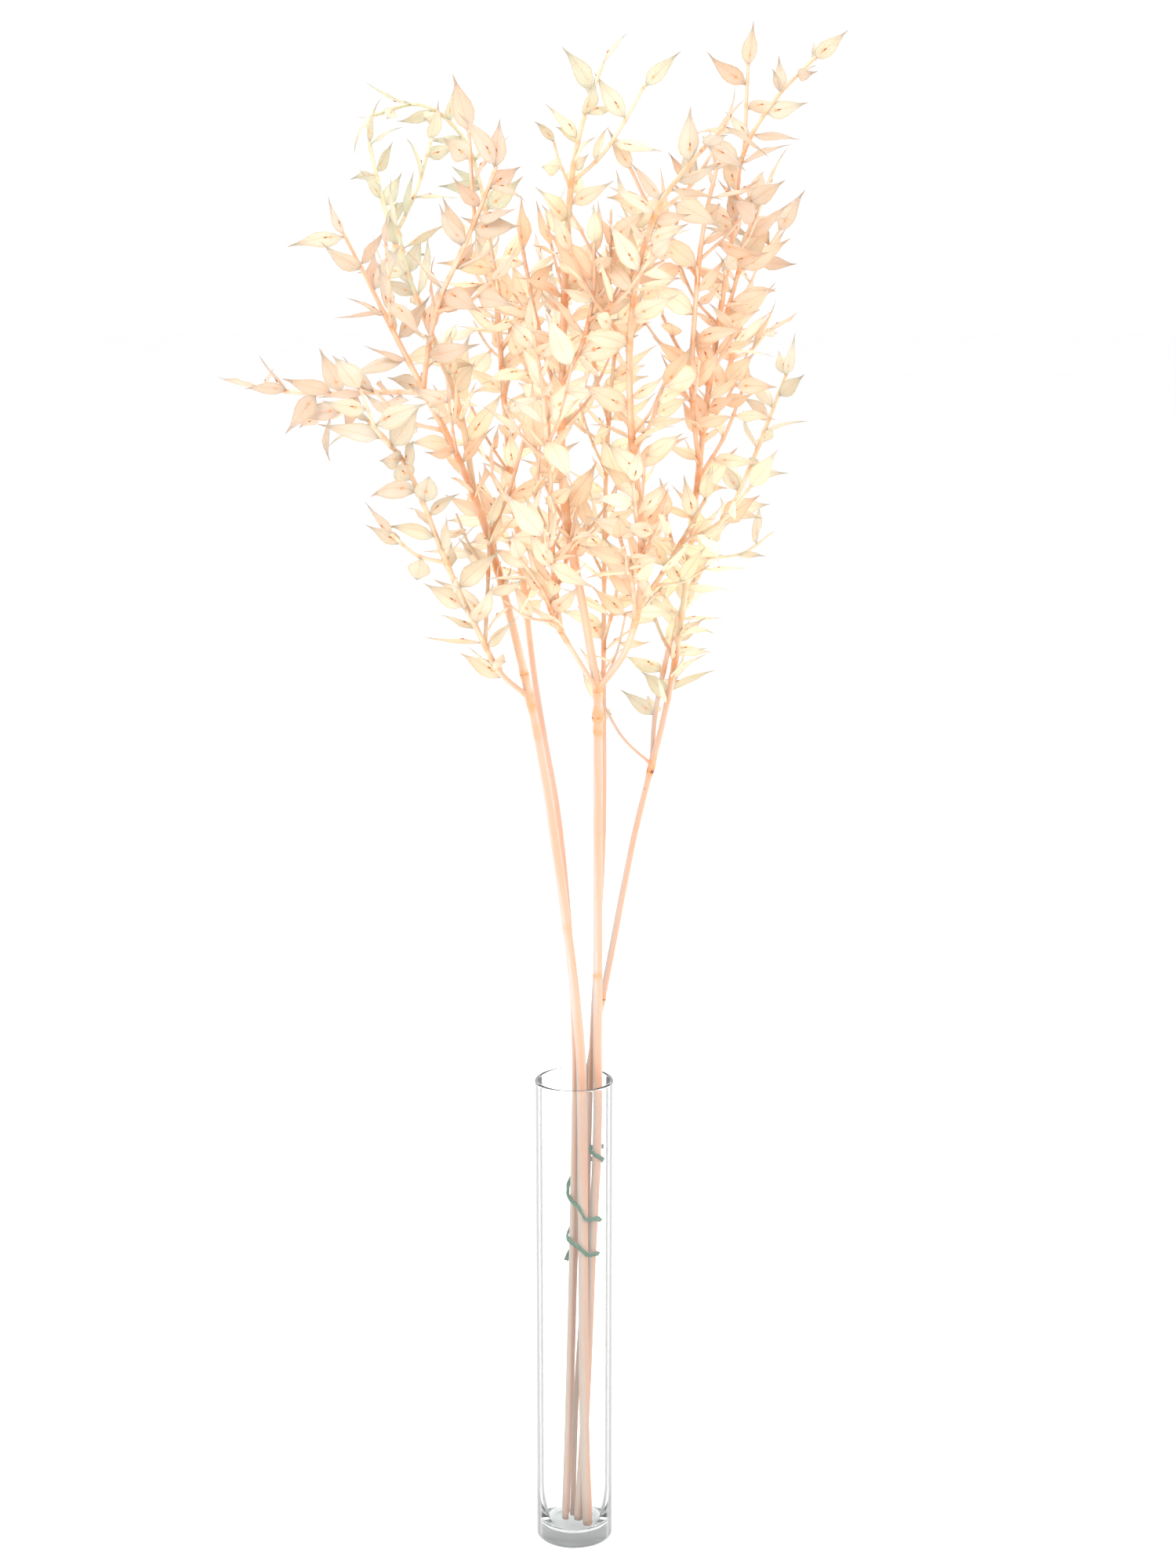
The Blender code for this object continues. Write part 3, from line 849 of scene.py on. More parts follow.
    def twigs(
        self, draw: random.Random, crowd: Crowd, owner: Stem, branch: Branch
    ) -> Iterator[Branch]:
        """Short twigs along a branch, turned by the golden angle and clear of other stems.

        Args:
            draw: the stem's random draws.
            crowd: what is placed so far.
            owner: the stem.
            branch: the branch that bears them.

        Returns:
            Each twig, once it is noted in the crowd.
        """
        run = self.wood_run(branch)
        distance = branch.bare + self.twig_spacing * self.twig_ends[0]
        azimuth = draw.uniform(0, math.tau)
        while distance < run.length * branch.twiggy - self.twig_spacing * self.twig_ends[1]:
            azimuth += self.golden_turn
            for _ in range(self.twig_tries):
                root, direction = run.at(distance)
                turn = azimuth + draw.uniform(*self.azimuth_swing)
                twig = self.drawn_twig(
                    draw, root, direction, turn, self.twig_length, self.twig_radius, self.twig_bare
                )
                if self.is_clear(crowd, owner, twig):
                    self.note(crowd, owner, twig)
                    yield twig
                    break
                azimuth += self.retry_turn
            distance += self.twig_spacing * draw.uniform(*self.spacing_swing)

    def drawn_blade(
        self,
        draw: random.Random,
        root: Vector,
        direction: Vector,
        azimuth: float,
        lean: float,
        size: float,
    ) -> Blade:
        """A blade that leaves a branch at this azimuth and lean, with its own random shape.

        Args:
            draw: the stem's random draws.
            root: where it grows.
            direction: the branch's direction there.
            azimuth: the angle round the branch.
            lean: the angle away from the branch.
            size: its share of full size.

        Returns:
            The blade.
        """
        out = outward(direction, azimuth)
        forward = (direction * math.cos(lean) + out * math.sin(lean)).normalized()
        facing = direction * math.sin(lean) - out * math.cos(lean)
        roll = draw.uniform(*self.blade_roll) * draw.choice((-1, 1))
        normal = Quaternion(forward, roll) @ facing.normalized()
        length = draw.uniform(*self.blade_length) * size
        width = length * draw.uniform(*self.blade_width_share)
        bend = -draw.uniform(*self.blade_bend)
        twist = draw.uniform(*self.blade_twist)
        fold = draw.uniform(*self.blade_fold)
        root = root - forward * self.root_sink
        return Blade(root, forward, normal, length, width, bend, twist, fold)

    def distances(self, draw: random.Random, branch: Branch, length: float) -> Iterator[float]:
        """Where blades grow along a branch: its tip first, then from its root up.

        Args:
            draw: the stem's random draws.
            branch: the branch that bears them.
            length: its length.

        Returns:
            Each distance from the branch's root.
        """
        yield length - self.tip_sink
        distance = branch.bare + draw.uniform(*self.first_blade) * self.blade_spacing
        while distance < length - self.last_blade * self.blade_spacing:
            yield distance
            distance += self.blade_spacing * draw.uniform(*self.spacing_swing)

    def blades(
        self, draw: random.Random, crowd: Crowd, owner: Stem, branch: Branch
    ) -> Iterator[Blade]:
        """Blades along a branch, on alternate sides, and one at its tip.

        Args:
            draw: the stem's random draws.
            crowd: what is placed so far.
            owner: the stem.
            branch: the branch that bears them.

        Returns:
            Each blade, once it is noted in the crowd.
        """
        if branch.bare >= NO_BLADES:
            return
        run = self.wood_run(branch)
        azimuth = draw.uniform(0, math.tau)
        for number, distance in enumerate(list(self.distances(draw, branch, run.length))):
            root, direction = run.at(distance)
            azimuth += math.pi + draw.uniform(*self.azimuth_swing)
            size = 1.0 - self.tip_shrink * (distance / run.length) ** 2
            for attempt in range(self.blade_tries):
                lean = draw.uniform(*(self.blade_lean if number else self.tip_lean))
                swing = draw.uniform(*self.retry_swing) * (1 + self.retry_widening * attempt)
                shrink = 1.0 - self.retry_shrink * attempt
                blade = self.drawn_blade(
                    draw, root, direction, azimuth + swing, lean, size * shrink
                )
                roomy = self.wedge.points(blade, self.blade_room)
                if crowd.meets(roomy, self.wedge.faces, owner, own=False):
                    continue
                if crowd.meets(roomy, self.wedge.far_faces, owner, own=True):
                    continue
                crowd.add(owner, self.wedge.points(blade), self.wedge.faces)
                yield replace(blade, distance=distance)
                break

    def grow(self) -> tuple[dict[Stem, Grown], Crowd]:
        """Every stem's branches and blades, placed by the rule, and the crowd that they make.

        Returns:
            The stems' growth, and the crowd.
        """
        crowd = Crowd(self.cell)
        grown = {}
        for stem, drawn in STEMS.items():
            branches = [drawn[0]]
            for branch in drawn[1:]:
                branches.append(self.rooted(branch, branches))
            for branch in branches:
                self.note(crowd, stem, branch)
            grown[stem] = Grown(branches, [])
        for number, (stem, plant) in enumerate(grown.items()):
            draw = random.Random(self.twig_seed + number)
            for branch in list(plant.branches):
                plant.branches += self.twigs(draw, crowd, stem, branch)
        for number, (stem, plant) in enumerate(grown.items()):
            draw = random.Random(self.blade_seed + number)
            for index, branch in enumerate(plant.branches):
                for blade in self.blades(draw, crowd, stem, branch):
                    plant.blades.append(replace(blade, branch=index))
            plant.solid_blades = len(plant.blades)
        return grown, crowd


CROWN_MIDDLE = Vector((0.01, 0.01, 0.575))
CROWN_REACH = (0.085, 0.110, 0.135)


def crown_share(at: Vector) -> float:
    """How far out a point lies in the crown: 0 in the middle, 1 where the dense part ends."""
    return math.hypot(*((p - m) / r for p, m, r in zip(at, CROWN_MIDDLE, CROWN_REACH)))


@dataclass
class LateGrowth:
    """The small twigs and blades that thicken the crown between the solid ones."""

    rule: GrowthRule
    crowd: Crowd
    twig_spacing: float = 0.060
    twig_length: Span = (0.026, 0.042)
    twig_radius: Span = (0.0007, 0.0005)
    twig_bare: float = 0.006
    first_twig: Span = (0.0, 0.6)
    twig_swing: Span = (0.8, 1.2)
    tip_bare: float = 0.020
    spacing: float = 0.0125
    first_blade: Span = (0.3, 1.0)
    spacing_swing: Span = (0.8, 1.3)
    azimuth_swing: Span = (-1.2, 1.2)
    size: Span = (0.68, 1.02)
    room: float = 0.0002
    tries: int = 14
    past_box: float = 0.004
    seed: int = 911

    def in_box(self, points: list[Vector]) -> bool:
        """Whether a shape stays in the solid model's box.

        Args:
            points: the shape's corners.

        Returns:
            True where every corner is inside.
        """
        low, high = CAD_BOX
        return all(
            low[k] - self.past_box < p[k] < high[k] + self.past_box for p in points for k in range(3)
        )

    def fits(self, owner: Stem, blade: Blade) -> bool:
        """Whether a blade keeps clear of all the others and inside the box.

        Args:
            owner: the stem that it grows on.
            blade: the blade.

        Returns:
            True where it may stay.
        """
        wedge = self.rule.wedge
        points = wedge.points(blade, self.room)
        if not self.in_box(points) or self.crowd.meets(points, wedge.faces, owner, own=False):
            return False
        return not self.crowd.meets(points, wedge.far_faces, owner, own=True)

    def twigs(self, draw: random.Random, owner: Stem, branch: Branch) -> Iterator[Branch]:
        """Fine twigs along a branch, where it passes through the dense middle.

        Args:
            draw: the stem's random draws.
            owner: the stem.
            branch: the branch that bears them.

        Returns:
            Each twig, once it is noted in the crowd.
        """
        run = self.rule.wood_run(branch)
        distance = branch.bare + self.twig_spacing * draw.uniform(*self.first_twig)
        while distance < run.length - self.tip_bare:
            root, direction = run.at(distance)
            turn = draw.uniform(0, math.tau)
            twig = self.rule.drawn_twig(
                draw, root, direction, turn, self.twig_length, self.twig_radius, self.twig_bare
            )
            if crown_share(root) < 1.0 and self.rule.is_clear(self.crowd, owner, twig):
                self.rule.note(self.crowd, owner, twig)
                yield twig
            distance += self.twig_spacing * draw.uniform(*self.twig_swing)

    def blades(self, draw: random.Random, owner: Stem, index: int, branch: Branch) -> Iterator[Blade]:
        """Smaller blades in the gaps along a branch.

        Args:
            draw: the stem's random draws.
            owner: the stem.
            index: the branch's number.
            branch: the branch that bears them.

        Returns:
            Each blade, once it is noted in the crowd.
        """
        if branch.bare >= NO_BLADES or branch.tip_radius == TENDRIL_TIP:
            return
        run = self.rule.wood_run(branch)
        distance = branch.bare + draw.uniform(*self.first_blade) * self.spacing
        azimuth = draw.uniform(0, math.tau)
        while distance < run.length:
            root, direction = run.at(distance)
            azimuth += self.rule.golden_turn
            for _ in range(self.tries):
                lean = draw.uniform(*self.rule.blade_lean)
                turn = azimuth + draw.uniform(*self.azimuth_swing)
                size = draw.uniform(*self.size)
                blade = self.rule.drawn_blade(draw, root, direction, turn, lean, size)
                if self.fits(owner, blade):
                    wedge = self.rule.wedge
                    self.crowd.add(owner, wedge.points(blade), wedge.faces)
                    yield replace(blade, branch=index, distance=distance)
                    break
            distance += self.spacing * draw.uniform(*self.spacing_swing)

    def grow(self, grown: dict[Stem, Grown]) -> None:
        """Adds the late twigs and blades to every stem.

        Args:
            grown: the stems' growth, which is added to.
        """
        for number, (stem, plant) in enumerate(grown.items()):
            draw = random.Random(self.seed + number)
            for branch in list(plant.branches):
                plant.branches += self.twigs(draw, stem, branch)
        for number, (stem, plant) in enumerate(grown.items()):
            draw = random.Random(self.seed + len(grown) + number)
            for index, branch in enumerate(plant.branches):
                plant.blades += self.blades(draw, stem, index, branch)


# Finishes


class Shader:
    """A material's node tree, built node by node."""

    def __init__(self, name: str) -> None:
        """Starts an empty material with this name.

        Args:
            name: the material's name.
        """
        self.material = bpy.data.materials.new(name)
        self.material.use_nodes = True
        self.tree = self.material.node_tree
        self.tree.nodes.clear()
        self.output = self.tree.nodes.new("ShaderNodeOutputMaterial")

    def node(self, kind: str, inputs: dict | None = None, **settings: Any) -> bpy.types.Node:
        """Adds a node.

        Args:
            kind: the node's type, without its common first word.
            inputs: values or sockets to feed to its inputs, by name or number.
            **settings: the node's own properties.

        Returns:
            The new node.
        """
        made = self.tree.nodes.new("ShaderNode" + kind)
        for key, value in settings.items():
            setattr(made, key, value)
        for key, value in (inputs or {}).items():
            if isinstance(value, bpy.types.NodeSocket):
                self.tree.links.new(value, made.inputs[key])
            elif isinstance(value, tuple) and len(value) == 3 and made.inputs[key].type == "RGBA":
                made.inputs[key].default_value = (*value, 1.0)
            else:
                made.inputs[key].default_value = value
        return made

    def attribute(self, name: str) -> bpy.types.NodeSocket:
        """A number kept on the mesh's points."""
        return self.node("Attribute", attribute_name=name).outputs["Fac"]

    def unwrap(self) -> bpy.types.NodeSocket:
        """The piece's own UV map."""
        return self.node("UVMap", uv_map="UVMap").outputs["UV"]

    def place(self) -> bpy.types.NodeSocket:
        """The place in the part's frame, in metres."""
        return self.node("TexCoord").outputs["Object"]

    def mapped(self, source: bpy.types.NodeSocket, scale: Point, shift: Point = (0, 0, 0)) -> Any:
        """Coordinates moved and then stretched."""
        return self.node(
            "Mapping", {"Vector": source, "Scale": scale, "Location": shift}
        ).outputs["Vector"]

    def noise(self, vector: Any, scale: float, detail: float = 3.0) -> bpy.types.NodeSocket:
        """A soft random number from 0 to 1."""
        return self.node(
            "TexNoise", {"Vector": vector, "Scale": scale, "Detail": detail}
        ).outputs["Fac"]

    def sum(self, kind: str, first: Any, second: Any = 0.0) -> bpy.types.NodeSocket:
        """A sum of two numbers, such as MULTIPLY or ADD."""
        made = self.node("Math", {0: first, 1: second}, operation=kind)
        return made.outputs["Value"]

    def blend_sum(self, first: Any, share: float, second: Any, rest: float) -> bpy.types.NodeSocket:
        """Two numbers added in these shares."""
        scaled = self.sum("MULTIPLY", first, share)
        return self.sum("ADD", scaled, self.sum("MULTIPLY", second, rest))

    def spread(self, value: Any, low: float, high: float, first: float = 0.0, last: float = 1.0) -> Any:
        """A number brought smoothly from one range to another, and held at its ends.

        Args:
            value: the number or socket.
            low: where the first range starts.
            high: where it ends.
            first: the result at low.
            last: the result at high.

        Returns:
            The result's socket.
        """
        made = self.node(
            "MapRange",
            {"Value": value, "From Min": low, "From Max": high, "To Min": first, "To Max": last},
            interpolation_type="SMOOTHSTEP",
        )
        return made.outputs["Result"]

    def mix(self, share: Any, first: Any, second: Any, kind: str = "MIX") -> bpy.types.NodeSocket:
        """Two colours mixed by a share.

        Args:
            share: how much of the second.
            first: a colour or socket.
            second: a colour or socket.
            kind: how they are blended.

        Returns:
            The mixed colour's socket.
        """
        made = self.node("Mix", data_type="RGBA", blend_type=kind)
        for socket, value in ((0, share), (6, first), (7, second)):
            if isinstance(value, bpy.types.NodeSocket):
                self.tree.links.new(value, made.inputs[socket])
            elif isinstance(value, tuple):
                made.inputs[socket].default_value = (*value, 1.0)
            else:
                made.inputs[socket].default_value = value
        return made.outputs[2]

    def bump(self, height: Any, distance: float, strength: float = 1.0) -> bpy.types.NodeSocket:
        """A bumped normal, with the relief's depth in metres."""
        made = self.node("Bump", {"Height": height, "Distance": distance, "Strength": strength})
        return made.outputs["Normal"]

    def finish(self, surface: bpy.types.NodeSocket) -> bpy.types.Material:
        """Joins a surface to the output, and returns the material."""
        self.tree.links.new(surface, self.output.inputs["Surface"])
        return self.material


@dataclass(frozen=True)
class BladeFinish:
    """A dried, bleached blade: thin, papery and veined along, with an orange spot on its rib."""

    cream: Colour = (0.97, 0.91, 0.81)
    peach: Colour = (0.96, 0.79, 0.64)
    green: Colour = (0.92, 0.94, 0.77)
    # Painted shade: blades far out in the crown are multiplied by this grey, to even out the stronger
    # lamp light that falls on them.
    outer: Colour = (0.81, 0.81, 0.83)
    margin: Colour = (0.86, 0.80, 0.64)
    amber: Colour = (0.88, 0.45, 0.18)
    bract: Colour = (0.62, 0.22, 0.06)
    shine_through: float = 0.46
    veins: float = 15.0
    spot_at: float = 0.36
    spot_size: float = 0.055
    breadth_share: float = 0.38
    mottle_scale: float = 55.0
    mottle_share: float = 0.45
    vein_share: float = 0.16
    vein_wander: float = 5.0
    rib_half: float = 0.06
    rib_share: float = 0.30
    margin_from: Span = (0.36, 0.49)
    margin_share: float = 0.55
    base_reach: float = 0.18
    base_share: float = 0.42
    tip_from: float = 0.88
    tip_share: float = 0.35
    spot_share: float = 0.85
    roughness: Span = (0.52, 0.70)
    relief: float = 0.00012

    def material(self) -> bpy.types.Material:
        """Builds the material.

        Returns:
            The material.
        """
        shader = Shader("dried_ruscus_blade")
        uv = shader.unwrap()
        place = shader.place()
        parts = shader.node("SeparateXYZ", {"Vector": uv})
        across, along = parts.outputs["X"], parts.outputs["Y"]
        mottle = shader.noise(place, self.mottle_scale, 4.0)
        colour = shader.mix(shader.attribute("warmth"), self.cream, self.peach)
        colour = shader.mix(shader.attribute("greenness"), colour, self.green)
        # Painted shade: darker blades far out in the crown, where more lamp light falls.
        colour = shader.mix(shader.attribute("outer"), colour, self.outer, "MULTIPLY")
        patch = shader.spread(mottle, 0.35, 0.75, 0.0, self.mottle_share)
        colour = shader.mix(patch, colour, self.peach, "MULTIPLY")
        wander = shader.noise(shader.mapped(uv, (3.0, 5.0, 1.0)), 1.0, 2.0)
        line = shader.sum("MULTIPLY", across, self.veins * math.tau)
        line = shader.sum("ADD", line, shader.sum("MULTIPLY", wander, self.vein_wander))
        vein = shader.sum("SINE", line)
        vein_tint = shader.spread(vein, 0.2, 1.0, 0.0, self.vein_share)
        colour = shader.mix(vein_tint, colour, self.amber)
        from_rib = shader.sum("ABSOLUTE", shader.sum("SUBTRACT", across, 0.5))
        rib = shader.spread(from_rib, 0.0, self.rib_half, 1.0, 0.0)
        colour = shader.mix(shader.sum("MULTIPLY", rib, self.rib_share), colour, self.amber)
        margin = shader.spread(from_rib, *self.margin_from, 0.0, self.margin_share)
        colour = shader.mix(margin, colour, self.margin, "MULTIPLY")
        base = shader.spread(along, 0.0, self.base_reach, self.base_share, 0.0)
        colour = shader.mix(base, colour, self.amber)
        tip = shader.spread(along, self.tip_from, 1.0, 0.0, self.tip_share)
        colour = shader.mix(tip, colour, self.amber)
        stretch = (self.breadth_share, 1.0, 0.0)
        shift = (-0.5 * self.breadth_share, -self.spot_at, 0.0)
        centred = shader.mapped(uv, stretch, shift)
        away = shader.node("VectorMath", {0: centred}, operation="LENGTH").outputs["Value"]
        spot = shader.spread(away, self.spot_size * 0.15, self.spot_size, self.spot_share, 0.0)
        spot = shader.sum("MULTIPLY", spot, shader.attribute("spot"))
        colour = shader.mix(spot, colour, self.amber)
        colour = shader.mix(shader.attribute("bract"), colour, self.bract)
        vein_height = shader.sum("MULTIPLY", vein, 0.35)
        height = shader.sum("ADD", vein_height, shader.sum("MULTIPLY", mottle, 1.6))
        normal = shader.bump(height, self.relief)
        skin = shader.node(
            "BsdfPrincipled",
            {
                "Base Color": colour,
                "Roughness": shader.spread(mottle, 0.3, 0.7, *self.roughness),
                "Specular IOR Level": 0.32,
                "Sheen Weight": 0.08,
                "Normal": normal,
            },
        )
        glow = shader.node("BsdfTranslucent", {"Color": colour, "Normal": normal})
        both = shader.node(
            "MixShader", {0: self.shine_through, 1: skin.outputs[0], 2: glow.outputs[0]}
        )
        return shader.finish(both.outputs[0])


@dataclass(frozen=True)
class WoodFinish:
    """Dried, bleached bark: pale peach with long streaks, amber at the nodes and brown scars."""

    cream: Colour = (0.54, 0.485, 0.44)
    peach: Colour = (0.57, 0.43, 0.355)
    beige: Colour = (0.51, 0.39, 0.315)
    orange: Colour = (0.66, 0.29, 0.15)
    green: Colour = (0.62, 0.62, 0.44)
    amber: Colour = (0.72, 0.28, 0.10)
    scar: Colour = (0.16, 0.06, 0.03)
    twig: Colour = (0.84, 0.57, 0.40)
    beige_below: Span = (0.16, 0.30)
    twigs_above: Span = (0.43, 0.50)
    streak_scale: Point = (11.0, 26.0, 1.0)
    fibre_scale: Point = (34.0, 60.0, 1.0)
    patch_scale: float = 22.0
    height_share: float = 0.75
    orange_share: float = 0.62
    fibre_share: float = 0.28
    knot_grain: float = 420.0
    fleck_scale: float = 95.0
    fleck_reach: Span = (0.03, 0.11)
    burnt_grain: float = 480.0
    roughness: Span = (0.46, 0.62)
    relief: float = 0.00025

    def material(self) -> bpy.types.Material:
        """Builds the material.

        Returns:
            The material.
        """
        shader = Shader("dried_ruscus_bark")
        uv = shader.unwrap()
        place = shader.place()
        streak = shader.noise(shader.mapped(uv, self.streak_scale), 1.0, 4.0)
        fibre = shader.noise(shader.mapped(uv, self.fibre_scale), 1.0, 3.0)
        patch = shader.noise(place, self.patch_scale, 2.0)
        warm = shader.blend_sum(streak, 0.6, patch, 0.4)
        height = shader.node("SeparateXYZ", {"Vector": place}).outputs["Z"]
        low = shader.spread(height, *self.beige_below, self.height_share, 0.0)
        colour = shader.mix(shader.spread(warm, 0.38, 0.64), self.cream, self.peach)
        colour = shader.mix(low, colour, self.beige)
        high = shader.spread(height, *self.twigs_above, 0.0, self.height_share)
        colour = shader.mix(high, colour, self.twig)
        around = shader.node("SeparateXYZ", {"Vector": uv}).outputs["X"]
        drift = shader.noise(shader.mapped(uv, (0.0, 3.5, 1.0)), 1.0, 2.0)
        side = shader.sum("SINE", shader.blend_sum(around, math.tau, drift, 7.0))
        orange = shader.spread(side, 0.50, 1.0, 0.0, self.orange_share)
        colour = shader.mix(orange, colour, self.orange)
        colour = shader.mix(shader.attribute("greenness"), colour, self.green)
        dark_fibre = shader.spread(fibre, 0.52, 0.75, 0.0, self.fibre_share)
        colour = shader.mix(dark_fibre, colour, self.amber)
        knot = shader.attribute("knot")
        grain = shader.spread(shader.noise(place, self.knot_grain), 0.3, 0.6, 0.35, 1.0)
        colour = shader.mix(shader.sum("MULTIPLY", knot, grain), colour, self.amber)
        dots = shader.node("TexVoronoi", {"Vector": place, "Scale": self.fleck_scale}).outputs["Distance"]
        fleck = shader.spread(dots, *self.fleck_reach, 0.75, 0.0)
        fleck = shader.sum("MULTIPLY", fleck, shader.spread(shader.noise(place, 37.0), 0.56, 0.66))
        colour = shader.mix(fleck, colour, self.scar)
        burnt = shader.spread(shader.noise(place, self.burnt_grain), 0.44, 0.52, 0.0, 0.92)
        burnt = shader.sum("MULTIPLY", burnt, shader.spread(knot, 0.84, 0.98))
        colour = shader.mix(burnt, colour, self.scar)
        relief = shader.sum("ADD", fibre, shader.sum("MULTIPLY", fleck, -1.5))
        skin = shader.node(
            "BsdfPrincipled",
            {
                "Base Color": colour,
                "Roughness": shader.spread(streak, 0.3, 0.7, *self.roughness),
                "Specular IOR Level": 0.35,
                "Normal": shader.bump(relief, self.relief),
            },
        )
        return shader.finish(skin.outputs[0])


@dataclass(frozen=True)
class TwineFinish:
    """Green spun twine, with lighter fibres on its plies and painted shade in the grooves between them.
    """

    dark: Colour = (0.035, 0.125, 0.070)
    light: Colour = (0.15, 0.34, 0.22)
    fibre_scale: Point = (22.0, 2600.0, 1.0)
    patch_scale: float = 140.0
    roughness: Span = (0.72, 0.92)
    relief: float = 0.00012

    def material(self) -> bpy.types.Material:
        """Builds the material.

        Returns:
            The material.
        """
        shader = Shader("green_twine")
        uv = shader.unwrap()
        fibre = shader.noise(shader.mapped(uv, self.fibre_scale), 1.0, 3.0)
        patch = shader.noise(shader.place(), self.patch_scale)
        share = shader.blend_sum(fibre, 0.7, patch, 0.3)
        colour = shader.mix(shader.spread(share, 0.32, 0.66), self.dark, self.light)
        # Painted shade: the grooves between the plies are multiplied towards the dark green.
        groove_shade = shader.spread(shader.attribute("groove_shade"), 0.0, 1.0, 0.0, 0.75)
        colour = shader.mix(groove_shade, colour, self.dark, "MULTIPLY")
        skin = shader.node(
            "BsdfPrincipled",
            {
                "Base Color": colour,
                "Roughness": shader.spread(fibre, 0.2, 0.8, *self.roughness),
                "Sheen Weight": 0.35,
                "Sheen Roughness": 0.4,
                "Sheen Tint": self.light,
                "Normal": shader.bump(fibre, self.relief),
            },
        )
        return shader.finish(skin.outputs[0])


@dataclass(frozen=True)
class GlassFinish:
    """Clear blown glass with a faint ripple, through which lamps light what it holds. Its edges carry
    painted dark lines and its foot a painted grey, which stand in for the dark surroundings that the
    glass refracts.
    """

    tint: Colour = (0.985, 0.995, 0.992)
    # Painted shade: the silhouette edges are tinted this dark grey and made less clear, to stand in for
    # the dark surroundings that the wall refracts there.
    edge: Colour = (0.16, 0.165, 0.165)
    painted_edge_from: Span = (0.49, 0.65)
    painted_edge_clear: float = 0.15
    # Painted shade: the thick foot is tinted this grey, fading out by 34 mm up, to stand in for the dark
    # surroundings that it refracts.
    foot: Colour = (0.74, 0.75, 0.75)
    painted_foot_height: Span = (0.008, 0.034)
    bend: float = 1.50
    ripple_scale: Point = (60.0, 60.0, 14.0)
    ripple_depth: float = 0.00004
    smear_scale: float = 70.0
    smear_roughness: float = 0.035

    def material(self) -> bpy.types.Material:
        """Builds the material.

        Returns:
            The material.
        """
        shader = Shader("clear_glass")
        place = shader.place()
        ripple = shader.noise(shader.mapped(place, self.ripple_scale), 1.0, 1.0)
        smear = shader.noise(place, self.smear_scale, 4.0)
        height = shader.node("SeparateXYZ", {"Vector": place}).outputs["Z"]
        # Painted shade: grey on the foot, standing in for refracted dark surroundings.
        colour = shader.mix(shader.spread(height, *self.painted_foot_height, 1.0, 0.0), self.tint, self.foot)
        # Painted shade: dark grey lines and less transmission where the wall turns edge-on, standing in
        # for refracted dark surroundings.
        facing = shader.node("LayerWeight", {"Blend": 0.5}).outputs["Facing"]
        colour = shader.mix(shader.spread(facing, *self.painted_edge_from, 0.0, 1.0), colour, self.edge)
        clearness = shader.spread(facing, *self.painted_edge_from, 1.0, self.painted_edge_clear)
        glass = shader.node(
            "BsdfPrincipled",
            {
                "Base Color": colour,
                "Roughness": shader.spread(smear, 0.45, 0.8, 0.0, self.smear_roughness),
                "IOR": self.bend,
                "Transmission Weight": clearness,
                "Normal": shader.bump(ripple, self.ripple_depth),
            },
        )
        clear = shader.node("BsdfTransparent", {"Color": self.tint})
        path = shader.node("LightPath")
        both = shader.node(
            "MixShader", {0: path.outputs["Is Shadow Ray"], 1: glass.outputs[0], 2: clear.outputs[0]}
        )
        return shader.finish(both.outputs[0])


@dataclass(frozen=True)
class PaperFinish:
    """The studio's matt white paper."""

    white: Colour = (0.97, 0.97, 0.97)
    grain_scale: float = 9.0
    grain: Span = (0.99, 1.0)

    def material(self) -> bpy.types.Material:
        """Builds the material.

        Returns:
            The material.
        """
        shader = Shader("white_paper")
        place = shader.place()
        tone = shader.spread(shader.noise(place, self.grain_scale, 2.0), 0.3, 0.7, *self.grain)
        grey = shader.node("CombineColor", {0: tone, 1: tone, 2: tone}).outputs[0]
        colour = shader.mix(1.0, self.white, grey, "MULTIPLY")
        skin = shader.node(
            "BsdfPrincipled", {"Base Color": colour, "Roughness": 0.9, "Specular IOR Level": 0.1}
        )
        return shader.finish(skin.outputs[0])


# Shapes


def new_piece(name: str, shape: bmesh.types.BMesh, material: bpy.types.Material) -> bpy.types.Object:
    """Makes an object of a finished shape.

    Args:
        name: the piece's name.
        shape: its shape, which is freed.
        material: its finish.

    Returns:
        The object, in the scene.
    """
    mesh = bpy.data.meshes.new(name)
    shape.to_mesh(mesh)
    shape.free()
    mesh.materials.append(material)
    made = bpy.data.objects.new(name, mesh)
    bpy.context.scene.collection.objects.link(made)
    return made


def take(whole: bmesh.types.BMesh, part: bmesh.types.BMesh) -> None:
    """Adds a part's shape to a whole, and frees the part.

    Args:
        whole: the shape that grows.
        part: the shape that is added.
    """
    mesh = bpy.data.meshes.new("part")
    part.to_mesh(mesh)
    part.free()
    whole.from_mesh(mesh)
    bpy.data.meshes.remove(mesh)


